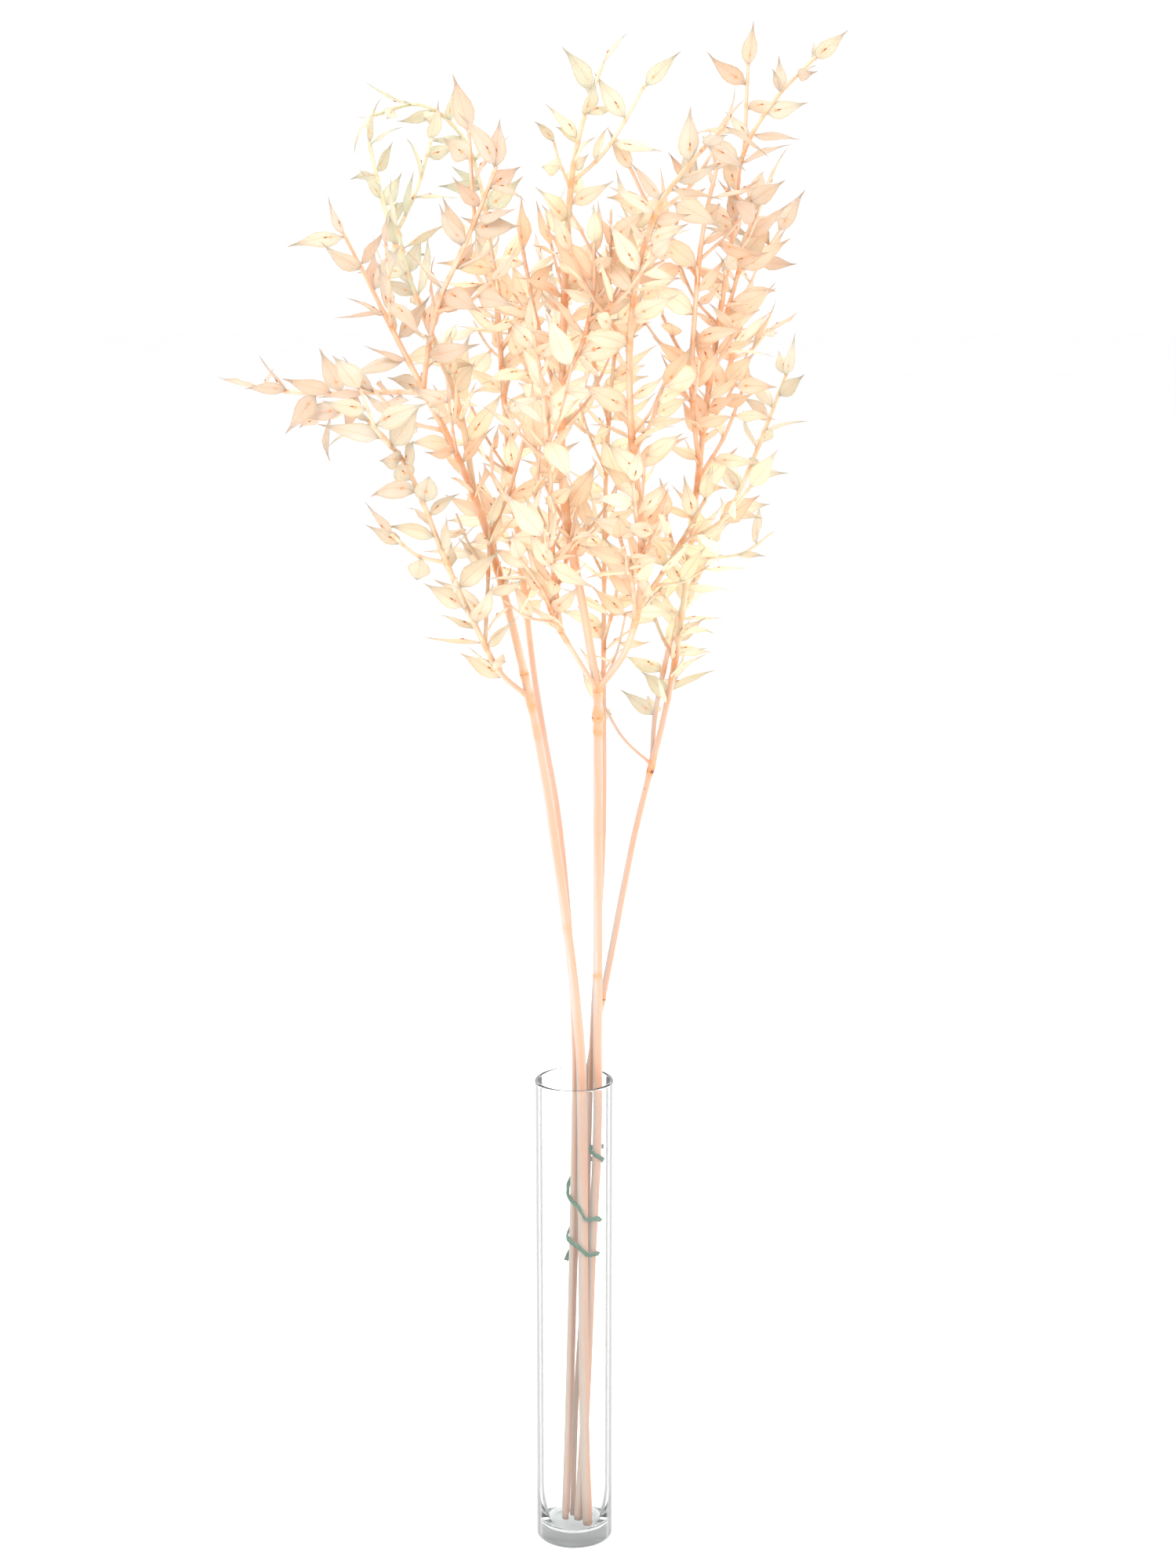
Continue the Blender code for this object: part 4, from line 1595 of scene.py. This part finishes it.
@dataclass
class Sweep:
    """A closed tube along a line, with a radius for each angle and distance."""

    centre: Callable[[float], tuple[Vector, Vector]]
    length: float
    radius: Reading
    sides: int
    step: float
    notes: dict[str, Reading] = field(default_factory=dict)

    def rings(self) -> list[tuple[float, Vector, Vector, Vector]]:
        """Each ring's distance, middle and two directions, which turn no more than they must.

        Returns:
            The rings, from the line's start to its end.
        """
        count = max(2, round(self.length / self.step))
        rings = []
        across = None
        for number in range(count + 1):
            distance = self.length * number / count
            point, direction = self.centre(distance)
            if across is None:
                across = direction.orthogonal()
            across = (across - direction * across.dot(direction)).normalized()
            rings.append((distance, point, across, direction.cross(across)))
        return rings

    def shape(self) -> bmesh.types.BMesh:
        """The tube, rolled from a grid and capped, with its length in metres in its UV map.

        Returns:
            The closed tube.
        """
        rings = self.rings()
        tube = bmesh.new()
        unwrap = tube.loops.layers.uv.new("UVMap")
        bmesh.ops.create_grid(
            tube, x_segments=self.sides, y_segments=len(rings) - 1, size=0.5, calc_uvs=True
        )
        layers = {name: tube.verts.layers.float.new(name) for name in self.notes}
        for face in tube.faces:
            face.smooth = True
            for loop in face.loops:
                loop[unwrap].uv.y *= self.length
        for vertex in tube.verts:
            turn = (vertex.co.x + 0.5) * math.tau
            distance, point, across, over = rings[round((vertex.co.y + 0.5) * (len(rings) - 1))]
            for name, note in self.notes.items():
                vertex[layers[name]] = note(turn, distance)
            ray = across * math.cos(turn) + over * math.sin(turn)
            vertex.co = point + ray * self.radius(turn, distance)
        bmesh.ops.remove_doubles(tube, verts=tube.verts, dist=1e-6)
        ends = [edge for edge in tube.edges if edge.is_boundary]
        bmesh.ops.holes_fill(tube, edges=ends, sides=0)
        bmesh.ops.recalc_face_normals(tube, faces=tube.faces)
        return tube


def ride_and_replace(piece: bpy.types.Object, node: str, slot: Slot) -> None:
    """Lets a piece ride on the one body and stand for a CAD node, whose solid it hides.

    Args:
        piece: the finished piece.
        node: the CAD node that it stands for.
        slot: the material slot; not used.
    """
    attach(piece, "root")
    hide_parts(node)
    LOG.info("%s: %d faces for %s", piece.name, len(piece.data.polygons), node)


@dataclass
class Knot:
    """A swelling on a branch, where a side branch or a blade leaves it."""

    distance: float
    swell: float
    reach: float
    stain: float


@dataclass(frozen=True)
class OldMark:
    """A swollen scar on a trunk, by its height above the foot."""

    height: float
    swell: float
    reach: float


OLD_MARKS = {
    Stem.LEFT: (
        OldMark(0.462, 0.10, 0.0022),
        OldMark(0.447, 0.16, 0.0026),
        OldMark(0.434, 0.12, 0.0018),
        OldMark(0.330, 0.06, 0.0014),
    ),
    Stem.CENTRE: (
        OldMark(0.4395, 0.46, 0.0034),
        OldMark(0.4330, 0.20, 0.0022),
        OldMark(0.3050, 0.05, 0.0012),
    ),
    Stem.RIGHT: (
        OldMark(0.4060, 0.14, 0.0022),
        OldMark(0.2900, 0.07, 0.0012),
    ),
}


@dataclass
class StemWood:
    """The bark of one stem and its branches, with ridges, nodes and collars."""

    stem: Stem
    plant: Grown
    rule: GrowthRule
    thick: float = 0.0011
    thick_sides: int = 18
    thin_sides: int = 8
    thick_step: float = 0.0035
    thin_step: float = 0.0022
    ridges: int = 6
    ridge_depth: float = 0.022
    fork_swell: float = 0.22
    fork_reach: float = 0.0035
    fork_stain: float = 0.82
    blade_swell: float = 0.16
    blade_reach: float = 0.0013
    blade_stain: float = 0.6
    collar: float = 0.35
    collar_reach: float = 0.0035
    collar_stain: float = 0.9
    collar_stain_reach: float = 0.004
    thin_ridges: float = 0.6
    oval: float = 0.03
    oval_turn: float = 11.0
    green_above: float = 0.47
    runs: list[Run] = field(init=False)
    knots: list[list[Knot]] = field(init=False)
    parents: list[int] = field(init=False)

    def __post_init__(self) -> None:
        """Seats each branch on the smooth line of its parent, and notes the nodes."""
        self.runs = []
        self.parents = [0]
        self.knots = [[] for _ in self.plant.branches]
        for branch in self.plant.branches:
            run = self.rule.wood_run(branch)
            if self.runs:
                parent, distance, foot = self.nearest(run.points[0])
                run = Run([foot, *run.points[1:]])
                bigger = self.plant.branches[parent].root_radius
                swell = self.fork_swell * min(1.0, branch.root_radius / bigger * 1.4)
                self.knots[parent].append(Knot(distance, swell, self.fork_reach, self.fork_stain))
                self.parents.append(parent)
            self.runs.append(run)
        for mark in OLD_MARKS.get(self.stem, ()):
            self.knots[0].append(Knot(self.level(mark.height), mark.swell, mark.reach, 1.0))
        for blade in self.plant.blades:
            knot = Knot(blade.distance, self.blade_swell, self.blade_reach, self.blade_stain)
            self.knots[blade.branch].append(knot)

    def level(self, height: float) -> float:
        """The distance along the trunk at which it passes a height.

        Args:
            height: the height above the foot.

        Returns:
            The distance from the trunk's root.
        """
        trunk = self.runs[0]
        steps = [trunk.length * part / 400 for part in range(401)]
        return min(steps, key=lambda distance: abs(trunk.smooth_at(distance)[0].z - height))

    def nearest(self, point: Vector) -> tuple[int, float, Vector]:
        """The branch, its distance and its smooth point that lie nearest to a point.

        Args:
            point: the point to seat.

        Returns:
            The branch's number, the distance and the point on it.
        """
        best = None
        for number, run in enumerate(self.runs):
            for part in range(101):
                distance = run.length * part / 100
                foot = run.smooth_at(distance)[0]
                gap = (foot - point).length
                if best is None or gap < best[0]:
                    best = (gap, number, distance, foot)
        return best[1:]

    def tone(self, branch: int, height: float) -> ShootTone:
        """The tone of a branch, or of the drawn branch that it grew from, at a height.

        Args:
            branch: the branch's number.
            height: the height above the foot.

        Returns:
            The tone.
        """
        while branch >= len(STEMS[self.stem]):
            branch = self.parents[branch]
        known = {t.branch: t for t in TONES if t.stem == self.stem and t.above <= height}
        while branch and branch not in known:
            branch = self.parents[branch]
        return known[branch]

    def shift(self, blade: Blade) -> Vector:
        """How far the smooth line of a blade's branch lies from its solid's line there."""
        run = self.runs[blade.branch]
        return run.smooth_at(blade.distance)[0] - run.at(blade.distance)[0]

    def tube(self, number: int, draw: random.Random) -> bmesh.types.BMesh:
        """One branch's bark.

        Args:
            number: the branch's number.
            draw: the stem's random draws.

        Returns:
            The closed tube.
        """
        branch, run = self.plant.branches[number], self.runs[number]
        knots = self.knots[number]
        thick = branch.root_radius > self.thick
        phase = draw.uniform(0, math.tau)
        wander = draw.uniform(4.0, 9.0)
        lean = draw.uniform(0, math.tau)

        def knot_share(distance: float, weigh: Callable[[Knot], float]) -> float:
            """The strongest knot's reading at a distance along the branch.

            Args:
                distance: how far along the branch.
                weigh: what to read of a knot.

            Returns:
                The reading, or 0 far from every knot.
            """
            near = [
                weigh(k) * math.exp(-(((distance - k.distance) / k.reach) ** 2)) for k in knots
            ]
            return max(near, default=0.0)

        def radius(turn: float, distance: float) -> float:
            """The bark's radius there, with its ridges and swellings.

            Args:
                turn: the angle round the branch.
                distance: how far along it.

            Returns:
                The radius.
            """
            plain = self.rule.radius_at(branch, distance / run.length)
            ridge = math.cos(self.ridges * turn + phase + math.sin(distance * wander))
            swell = 1 + self.ridge_depth * ridge * (1.0 if thick else self.thin_ridges)
            swell += self.oval * math.cos(turn * 2 + lean + distance * self.oval_turn)
            swell += knot_share(distance, lambda k: k.swell)
            if number:
                swell += self.collar * math.exp(-distance / self.collar_reach)
            return plain * swell

        def stain(_: float, distance: float) -> float:
            """How strongly the bark is stained there.

            Args:
                distance: how far along the branch.

            Returns:
                The share of the stain.
            """
            fade = math.exp(-distance / self.collar_stain_reach)
            collar = self.collar_stain * fade if number else 0.0
            return max(collar, knot_share(distance, lambda k: k.stain))

        def greenness(_: float, distance: float) -> float:
            """How green the bark is there."""
            height = run.at(distance)[0].z
            return self.tone(number, height).greenness if height > self.green_above else 0.0

        return Sweep(
            run.smooth_at,
            run.length,
            radius,
            self.thick_sides if thick else self.thin_sides,
            self.thick_step if thick else self.thin_step,
            {"knot": stain, "greenness": greenness},
        ).shape()

    def build(self, material: bpy.types.Material) -> bpy.types.Object:
        """All the stem's bark as one piece.

        Args:
            material: the bark's finish.

        Returns:
            The piece.
        """
        whole = bmesh.new()
        draw = random.Random(self.stem.value)
        for number in range(len(self.runs)):
            take(whole, self.tube(number, draw))
        piece = new_piece(self.stem.value + "_bark", whole, material)
        ride_and_replace(piece, self.stem.value, Slot.RUSCUS)
        return piece


@dataclass
class StemBlades:
    """The thin blades of one stem, each on its solid's line, with its own curl and colour."""

    wood: StemWood
    rows: int = 7
    columns: int = 4
    row_ease: float = 1.25
    base_power: float = 1.0
    tip_power: float = 2.1
    broad: float = 0.92
    stalk: float = 0.06
    stalk_half: float = 0.00042
    tip_half: float = 0.00005
    thickness: float = 0.00034
    fold: Span = (0.9, 2.2)
    ripple: Span = (0.02, 0.16)
    hook: Span = (-0.05, 0.09)
    waves: Span = (1.0, 2.2)
    crease_power: float = 1.3
    hook_from: float = 0.55
    warmth_swing: Span = (-0.45, 0.45)
    green_swing: Span = (-0.25, 0.25)
    spotted: float = 0.62
    bract_at: Span = (0.33, 0.39)
    # Where the painted shade of the outer blades begins, as a crown share, and over what band it grows
    # full.
    outer_shade_from: float = 0.75
    outer_shade_band: float = 0.45
    bract_length: float = 0.0021
    bract_width: float = 0.0007

    def __post_init__(self) -> None:
        """Makes the flat blade that every blade is shaped from."""
        flat = bmesh.new()
        flat.loops.layers.uv.new("UVMap")
        for name in ("warmth", "greenness", "outer", "spot", "bract"):
            flat.verts.layers.float.new(name)
        bmesh.ops.create_grid(
            flat, x_segments=self.columns, y_segments=self.rows, size=0.5, calc_uvs=True
        )
        for edge in flat.edges:
            edge.smooth = not edge.is_boundary
        top = list(flat.faces)
        copied = bmesh.ops.duplicate(flat, geom=top)["geom"]
        under = [item for item in copied if isinstance(item, bmesh.types.BMFace)]
        bmesh.ops.reverse_faces(flat, faces=under)
        for vertex in {v for face in under for v in face.verts}:
            if not self.on_rim(vertex.co):
                vertex.co.z = -1.0
        for vertex in {v for face in top for v in face.verts}:
            if not self.on_rim(vertex.co):
                vertex.co.z = 1.0
        bmesh.ops.remove_doubles(flat, verts=flat.verts, dist=1e-4)
        for face in flat.faces:
            face.smooth = True
        self.flat = flat
        self.places = [
            ((v.co.y + 0.5) ** self.row_ease, v.co.x * 2, v.co.z) for v in flat.verts
        ]

    @staticmethod
    def on_rim(at: Vector) -> bool:
        """Whether a corner of the flat grid lies on its rim."""
        return max(abs(at.x), abs(at.y)) > 0.4999

    def half_width(self, blade: Blade, share: float) -> float:
        """Half the blade's width: a narrow stalk, a full lower half and a drawn-out point.

        Args:
            blade: the blade.
            share: how far along it, from 0 to 1.

        Returns:
            Half the width there.
        """
        least = self.stalk_half + (self.tip_half - self.stalk_half) * share
        at = max(0.0, (share - self.stalk) / (1 - self.stalk))
        peak = self.base_power / (self.base_power + self.tip_power)
        full = (at / peak) ** self.base_power * ((1 - at) / (1 - peak)) ** self.tip_power
        return max(least, self.broad * blade.width / 2 * full)

    def shaped(self, blade: Blade, draw: random.Random) -> bmesh.types.BMesh:
        """One blade's shape, with its colours noted on its points.

        Args:
            blade: the blade.
            draw: the stem's random draws.

        Returns:
            The closed shape.
        """
        root = blade.root + self.wood.shift(blade)
        side = blade.normal.cross(blade.forward)
        fold = blade.fold * draw.uniform(*self.fold)
        ripple = draw.uniform(*self.ripple)
        waves = draw.uniform(*self.waves)
        phase = draw.uniform(0, math.tau)
        hook = draw.uniform(*self.hook) * blade.length
        tone = self.wood.tone(blade.branch, blade.root.z)
        warmth = held(tone.warmth + draw.uniform(*self.warmth_swing))
        green = held(tone.greenness + draw.uniform(*self.green_swing))
        # Painted shade share: 0 in the dense middle of the crown, 1 far out, where more lamp light falls.
        outer = held((crown_share(blade.root) - self.outer_shade_from) / self.outer_shade_band)
        spot = 1.0 if draw.random() < self.spotted else 0.0

        def at(share: float, across: float, skin: float) -> Vector:
            """A point of the curled blade.

            Args:
                share: how far along the blade.
                across: from -1 to 1 between its edges.
                skin: 1 on the upper face, -1 on the lower, 0 on the rim.

            Returns:
                The point.
            """
            turn = blade.bend * share
            ahead, rise = arc(blade.bend, blade.length * share, turn)
            normal = blade.normal * math.cos(turn) - blade.forward * math.sin(turn)
            twist = blade.twist * share
            flat = side * math.cos(twist) + normal * math.sin(twist)
            up = normal * math.cos(twist) - side * math.sin(twist)
            half = self.half_width(blade, share)
            height = fold * half * (0.5 - abs(across) ** self.crease_power)
            wave = math.sin(math.tau * waves * share + phase + 0.8 * across)
            height += ripple * half * wave * across * abs(across)
            height += hook * (max(0.0, share - self.hook_from) / (1 - self.hook_from)) ** 2
            height += skin * self.thickness / 2
            point = root + blade.forward * ahead + blade.normal * rise
            return point + flat * across * half + up * height

        shape = self.flat.copy()
        layers = shape.verts.layers.float
        for vertex, place in zip(shape.verts, self.places):
            vertex.co = at(*place)
            vertex[layers["warmth"]] = warmth
            vertex[layers["greenness"]] = green
            vertex[layers["outer"]] = outer
            vertex[layers["spot"]] = spot
        if spot:
            low, high = (at(share, 0.0, 1.0) for share in self.bract_at)
            self.add_bract(shape, low.lerp(high, 0.5), (high - low).normalized(), side)
        return shape

    def add_bract(
        self, shape: bmesh.types.BMesh, middle: Vector, along: Vector, side: Vector
    ) -> None:
        """Sets the little scale of a spent flower on the rib.

        Args:
            shape: the blade's shape.
            middle: where the scale sits.
            along: the rib's direction there.
            side: the blade's own side direction.
        """
        made = bmesh.ops.create_uvsphere(shape, u_segments=5, v_segments=4, radius=0.5)["verts"]
        side = (side - along * side.dot(along)).normalized()
        up = along.cross(side)
        bract = shape.verts.layers.float["bract"]
        for vertex in made:
            x, y, z = vertex.co
            taper = 1.0 - 0.6 * z
            vertex.co = middle + along * z * self.bract_length
            vertex.co += (side * x + up * y) * self.bract_width * taper
            vertex[bract] = 1.0
        for face in {f for v in made for f in v.link_faces}:
            face.smooth = True

    def build(self, material: bpy.types.Material) -> bpy.types.Object:
        """All the stem's blades as one piece.

        Args:
            material: the blades' finish.

        Returns:
            The piece.
        """
        whole = bmesh.new()
        name = self.wood.stem.value
        draw = random.Random(name + "_blades")
        for blade in self.wood.plant.blades:
            take(whole, self.shaped(blade, draw))
        self.flat.free()
        piece = new_piece(name + "_blades", whole, material)
        ride_and_replace(piece, name, Slot.RUSCUS)
        return piece


@dataclass
class GlassVase:
    """The slim glass cylinder: a thin wall, a round rim, a thick floor and a soft heel."""

    wall: float = 0.0020
    floor: float = 0.0070
    floor_flat: float = 0.0134
    corner_height: float = 0.030
    heel: float = 0.0022
    foot_ring: float = 0.0150
    push_up: float = 0.0009
    round_steps: int = 128
    arc_steps: int = 10
    wall_steps: int = 6
    end_ring: float = 0.0008

    def wall_rings(self, across: float, start: float, end: float) -> list[Span]:
        """Rings up or down a straight wall, close to its ends so that it shades dead straight.

        Args:
            across: the wall's radius.
            start: the height that it leaves.
            end: the height that it reaches.

        Returns:
            The radius and height of each ring.
        """
        near = math.copysign(self.end_ring, end - start)
        shares = [step / self.wall_steps for step in range(1, self.wall_steps)]
        heights = [start + near, *(start + (end - start) * share for share in shares), end - near]
        return [(across, height) for height in heights]

    def profile(self) -> list[Span]:
        """The section, from the middle of the inner floor over the rim to the foot's middle.

        Returns:
            The radius and height of each point.
        """
        _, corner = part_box("vase")
        outer, height = corner.x, corner.z
        inner = outer - self.wall
        points = [(0.0, self.floor), (self.floor_flat * 0.5, self.floor)]
        for step in range(self.arc_steps + 1):
            turn = math.pi / 2 * step / self.arc_steps
            across = self.floor_flat + (inner - self.floor_flat) * math.sin(turn)
            rise = (self.corner_height - self.floor) * (1 - math.cos(turn))
            points.append((across, self.floor + rise))
        rim = self.wall / 2
        points += self.wall_rings(inner, self.corner_height, height - rim)
        for step in range(self.arc_steps + 1):
            turn = math.pi * (1 - step / self.arc_steps)
            points.append((outer - rim + rim * math.cos(turn), height - rim + rim * math.sin(turn)))
        points += self.wall_rings(outer, height - rim, self.heel)
        for step in range(self.arc_steps + 1):
            turn = math.pi / 2 * step / self.arc_steps
            points.append((outer - self.heel * (1 - math.cos(turn)), self.heel * (1 - math.sin(turn))))
        for step in range(self.arc_steps + 1):
            across = self.foot_ring * (1 - step / self.arc_steps)
            points.append((across, self.push_up * (1 - (across / self.foot_ring) ** 2)))
        return points

    def build(self, material: bpy.types.Material) -> bpy.types.Object:
        """The vase, turned about Z.

        Args:
            material: the glass.

        Returns:
            The piece.
        """
        shape = bmesh.new()
        knots = [shape.verts.new((x, 0.0, z)) for x, z in self.profile()]
        edges = [shape.edges.new(pair) for pair in zip(knots, knots[1:])]
        bmesh.ops.spin(
            shape,
            geom=[*knots, *edges],
            cent=(0, 0, 0),
            axis=(0, 0, 1),
            angle=math.tau,
            steps=self.round_steps,
            use_merge=True,
        )
        bmesh.ops.remove_doubles(shape, verts=shape.verts, dist=1e-6)
        bmesh.ops.dissolve_degenerate(shape, edges=shape.edges, dist=1e-7)
        bmesh.ops.recalc_face_normals(shape, faces=shape.faces)
        for face in shape.faces:
            face.smooth = True
        piece = new_piece("glass_vase", shape, material)
        ride_and_replace(piece, "vase", Slot.GLASS)
        return piece


@dataclass
class DoubledTwine:
    """Two spun strands wound side by side round the stems inside the vase."""

    rule: GrowthRule
    radius: float = 0.0009
    gap: float = 0.0003
    turn_step: float = math.radians(24)
    levels: tuple[float, ...] = (0.2135, 0.2115, 0.2040, 0.1780, 0.1690, 0.1560, 0.1525)
    round_one: int = 1
    start: float = math.radians(20)
    turns: float = 3.45
    strand: float = 0.00062
    apart: float = 0.00060
    sides: int = 12
    step: float = 0.0005
    plies: int = 3
    ply_depth: float = 0.15
    ply_pitch: float = 0.0042
    lay_pitch: float = 0.090
    lay_turn: float = 0.35
    ridge_room: float = 1.05
    smoothing: int = 3
    close: int = 5

    def stem_at_height(self, branch: Branch, height: float) -> tuple[Vector, float]:
        """The centre and radius of a stem where it passes a height.

        Args:
            branch: the stem's trunk.
            height: the height above the foot.

        Returns:
            The centre and the radius.
        """
        run = self.rule.wood_run(branch)
        low, high = 0.0, run.length
        for _ in range(30):
            middle = (low + high) / 2
            if run.at(middle)[0].z < height:
                low = middle
            else:
                high = middle
        return run.at(low)[0], self.rule.radius_at(branch, low / run.length)

    def route(self) -> list[Vector]:
        """One turn round the centre stem, then turns round the whole bundle.

        Returns:
            The points, a step of the turn apart.
        """
        points = []
        count = round(self.turns * math.tau / self.turn_step)
        for step in range(count + 1):
            angle = self.start + step * self.turn_step
            share = step / count * (len(self.levels) - 1)
            index = min(int(share), len(self.levels) - 2)
            height = self.levels[index]
            height += (self.levels[index + 1] - height) * (share - index)
            away = Vector((math.cos(angle), math.sin(angle), 0.0))
            alone = step * self.turn_step < self.round_one * math.tau
            reached = []
            for stem in [Stem.CENTRE] if alone else list(Stem):
                centre, radius = self.stem_at_height(STEMS[stem][0], height)
                reached.append((centre.dot(away) + radius, centre, radius))
            _, centre, radius = max(reached, key=lambda item: item[0])
            point = centre + away * (radius + self.gap + self.radius)
            points.append(Vector((point.x, point.y, height)))
        return points

    def pushed_out(self, point: Vector) -> Vector:
        """A point moved straight out of any stem that it would lie in.

        Args:
            point: the point.

        Returns:
            The point, where it is clear.
        """
        for stem in Stem:
            centre, radius = self.stem_at_height(STEMS[stem][0], point.z)
            away = Vector((point.x - centre.x, point.y - centre.y, 0.0))
            least = radius * self.ridge_room + self.gap + self.strand
            if away.length < least:
                point = Vector((centre.x, centre.y, point.z)) + away.normalized() * least
        return point

    def smooth_line(self) -> Run:
        """The route, evened out between the stems that it passes.

        Returns:
            The line between the two strands.
        """
        coarse = Run(self.route())
        count = (len(coarse.points) - 1) * self.close
        points = [coarse.smooth_at(coarse.length * i / count)[0] for i in range(count + 1)]
        for _ in range(self.smoothing * self.close):
            middle = [(a + b * 2 + c) / 4 for a, b, c in zip(points, points[1:], points[2:])]
            points = [points[0], *(self.pushed_out(p) for p in middle), points[-1]]
        return Run(points)

    def build(self, material: bpy.types.Material) -> bpy.types.Object:
        """Both strands as one piece.

        Args:
            material: the twine's finish.

        Returns:
            The piece.
        """
        line = self.smooth_line()
        whole = bmesh.new()
        for side in (-1, 1):

            def centre(distance: float, side: int = side) -> tuple[Vector, Vector]:
                """The strand's middle and direction at a distance.

                Args:
                    distance: how far along the line.
                    side: -1 or 1 for the strand.

                Returns:
                    The point and the direction.
                """
                point, direction = line.smooth_at(distance)
                over = Quaternion(direction, distance / self.lay_pitch * math.tau * self.lay_turn)
                return point + over @ Vector((0, 0, 1)) * side * self.apart, direction

            def ply(turn: float, distance: float) -> float:
                """How far out the plies stand there, from -1 to 1."""
                twist = distance / self.ply_pitch * math.tau / self.plies
                return math.cos(self.plies * (turn - twist))

            strand = Sweep(
                centre,
                line.length,
                lambda turn, distance: self.strand * (1 + self.ply_depth * ply(turn, distance)),
                self.sides,
                self.step,
                # Painted shade share: 1 in the grooves between the plies, 0 on their crests.
                {"groove_shade": lambda turn, distance: 0.5 - 0.5 * ply(turn, distance)},
            )
            take(whole, strand.shape())
        piece = new_piece("doubled_twine", whole, material)
        ride_and_replace(piece, "twine", Slot.TWINE)
        return piece


# The studio


@dataclass(frozen=True)
class Lamp:
    """A square soft lamp: its place, its side and its power in watts."""

    name: str
    at: Point
    size: float
    power: float


@dataclass
class Studio:
    """A white paper floor under a pale sky, soft lamps and the camera."""

    reach: float = 12.0
    round_steps: int = 96
    camera_at: Point = (0.0071, -1.3491, 0.6965)
    camera_tilt: float = math.radians(90 - 12.27)
    lens: float = 63.89
    sky: float = 1.03
    lamps: tuple[Lamp, ...] = (
        Lamp("key", (-1.1, -1.5, 1.7), 1.1, 25.0),
        Lamp("fill", (1.4, -1.2, 1.2), 1.2, 19.0),
        Lamp("top", (0.0, 0.2, 2.2), 1.4, 20.0),
        Lamp("back_left", (-0.9, 0.9, 1.1), 0.8, 11.0),
        Lamp("back_right", (0.9, 0.9, 1.1), 0.8, 11.0),
    )
    lamp_aim: Point = (0.0, 0.0, 0.45)

    def paper(self) -> bpy.types.Object:
        """The flat paper floor, open to the sky on every side.

        Returns:
            The floor.
        """
        shape = bmesh.new()
        bmesh.ops.create_circle(shape, cap_ends=True, segments=self.round_steps, radius=self.reach)
        piece = new_piece("paper_floor", shape, PaperFinish().material())
        piece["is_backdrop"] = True
        return piece

    def light(self, lamp: Lamp) -> None:
        """Hangs a lamp that faces the stems and isn't mirrored in the glass.

        Args:
            lamp: the lamp.
        """
        light = bpy.data.lights.new(lamp.name, "AREA")
        light.size = lamp.size
        light.energy = lamp.power
        made = bpy.data.objects.new(lamp.name, light)
        made.location = lamp.at
        made.visible_glossy = False
        made.visible_transmission = False
        aim = Vector(self.lamp_aim) - Vector(lamp.at)
        made.rotation_euler = aim.to_track_quat("-Z", "Y").to_euler()
        bpy.context.scene.collection.objects.link(made)

    def sky_light(self) -> None:
        """An even pale light from all round."""
        world = bpy.data.worlds.new("soft_room")
        world.use_nodes = True
        back = world.node_tree.nodes["Background"]
        back.inputs["Color"].default_value = (1.0, 1.0, 1.0, 1.0)
        back.inputs["Strength"].default_value = self.sky
        bpy.context.scene.world = world

    def camera(self) -> None:
        """The camera, where the photograph's stood."""
        lens = bpy.data.cameras.new("camera")
        lens.lens = self.lens
        lens.sensor_width = 36.0
        made = bpy.data.objects.new("camera", lens)
        made.location = self.camera_at
        made.rotation_euler = (self.camera_tilt, 0.0, 0.0)
        bpy.context.scene.collection.objects.link(made)
        bpy.context.scene.camera = made

    def build(self) -> None:
        """Sets up the whole studio."""
        self.camera()
        self.paper()
        self.sky_light()
        for lamp in self.lamps:
            self.light(lamp)
        bpy.context.scene.view_settings.view_transform = "Standard"
        LOG.info("studio: paper, %d lamps and the camera", len(self.lamps))


def write_sizes() -> None:
    """Lists the CAD model's box beside the dressed one's; the list is not written or kept."""
    boxes = {"cad": CAD_BOX, "visual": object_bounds()}
    plain = {name: [list(corner) for corner in box] for name, box in boxes.items()}


def main() -> None:
    """Builds the studio and dresses the vase, the stems and the twine."""
    logging.basicConfig(level=logging.INFO, format="%(message)s")
    Studio().build()
    GlassVase().build(GlassFinish().material())
    rule = GrowthRule()
    DoubledTwine(rule).build(TwineFinish().material())
    bark = WoodFinish().material()
    leaf = BladeFinish().material()
    grown, crowd = rule.grow()
    LateGrowth(rule, crowd).grow(grown)
    for stem, plant in grown.items():
        late = len(plant.blades) - plant.solid_blades
        LOG.info(
            "%s: %d branches, %d blades and %d late ones",
            stem.value,
            len(plant.branches),
            plant.solid_blades,
            late,
        )
        wood = StemWood(stem, plant, rule)
        wood.build(bark)
        StemBlades(wood).build(leaf)
    write_sizes()


if __name__ == "__main__":
    main()
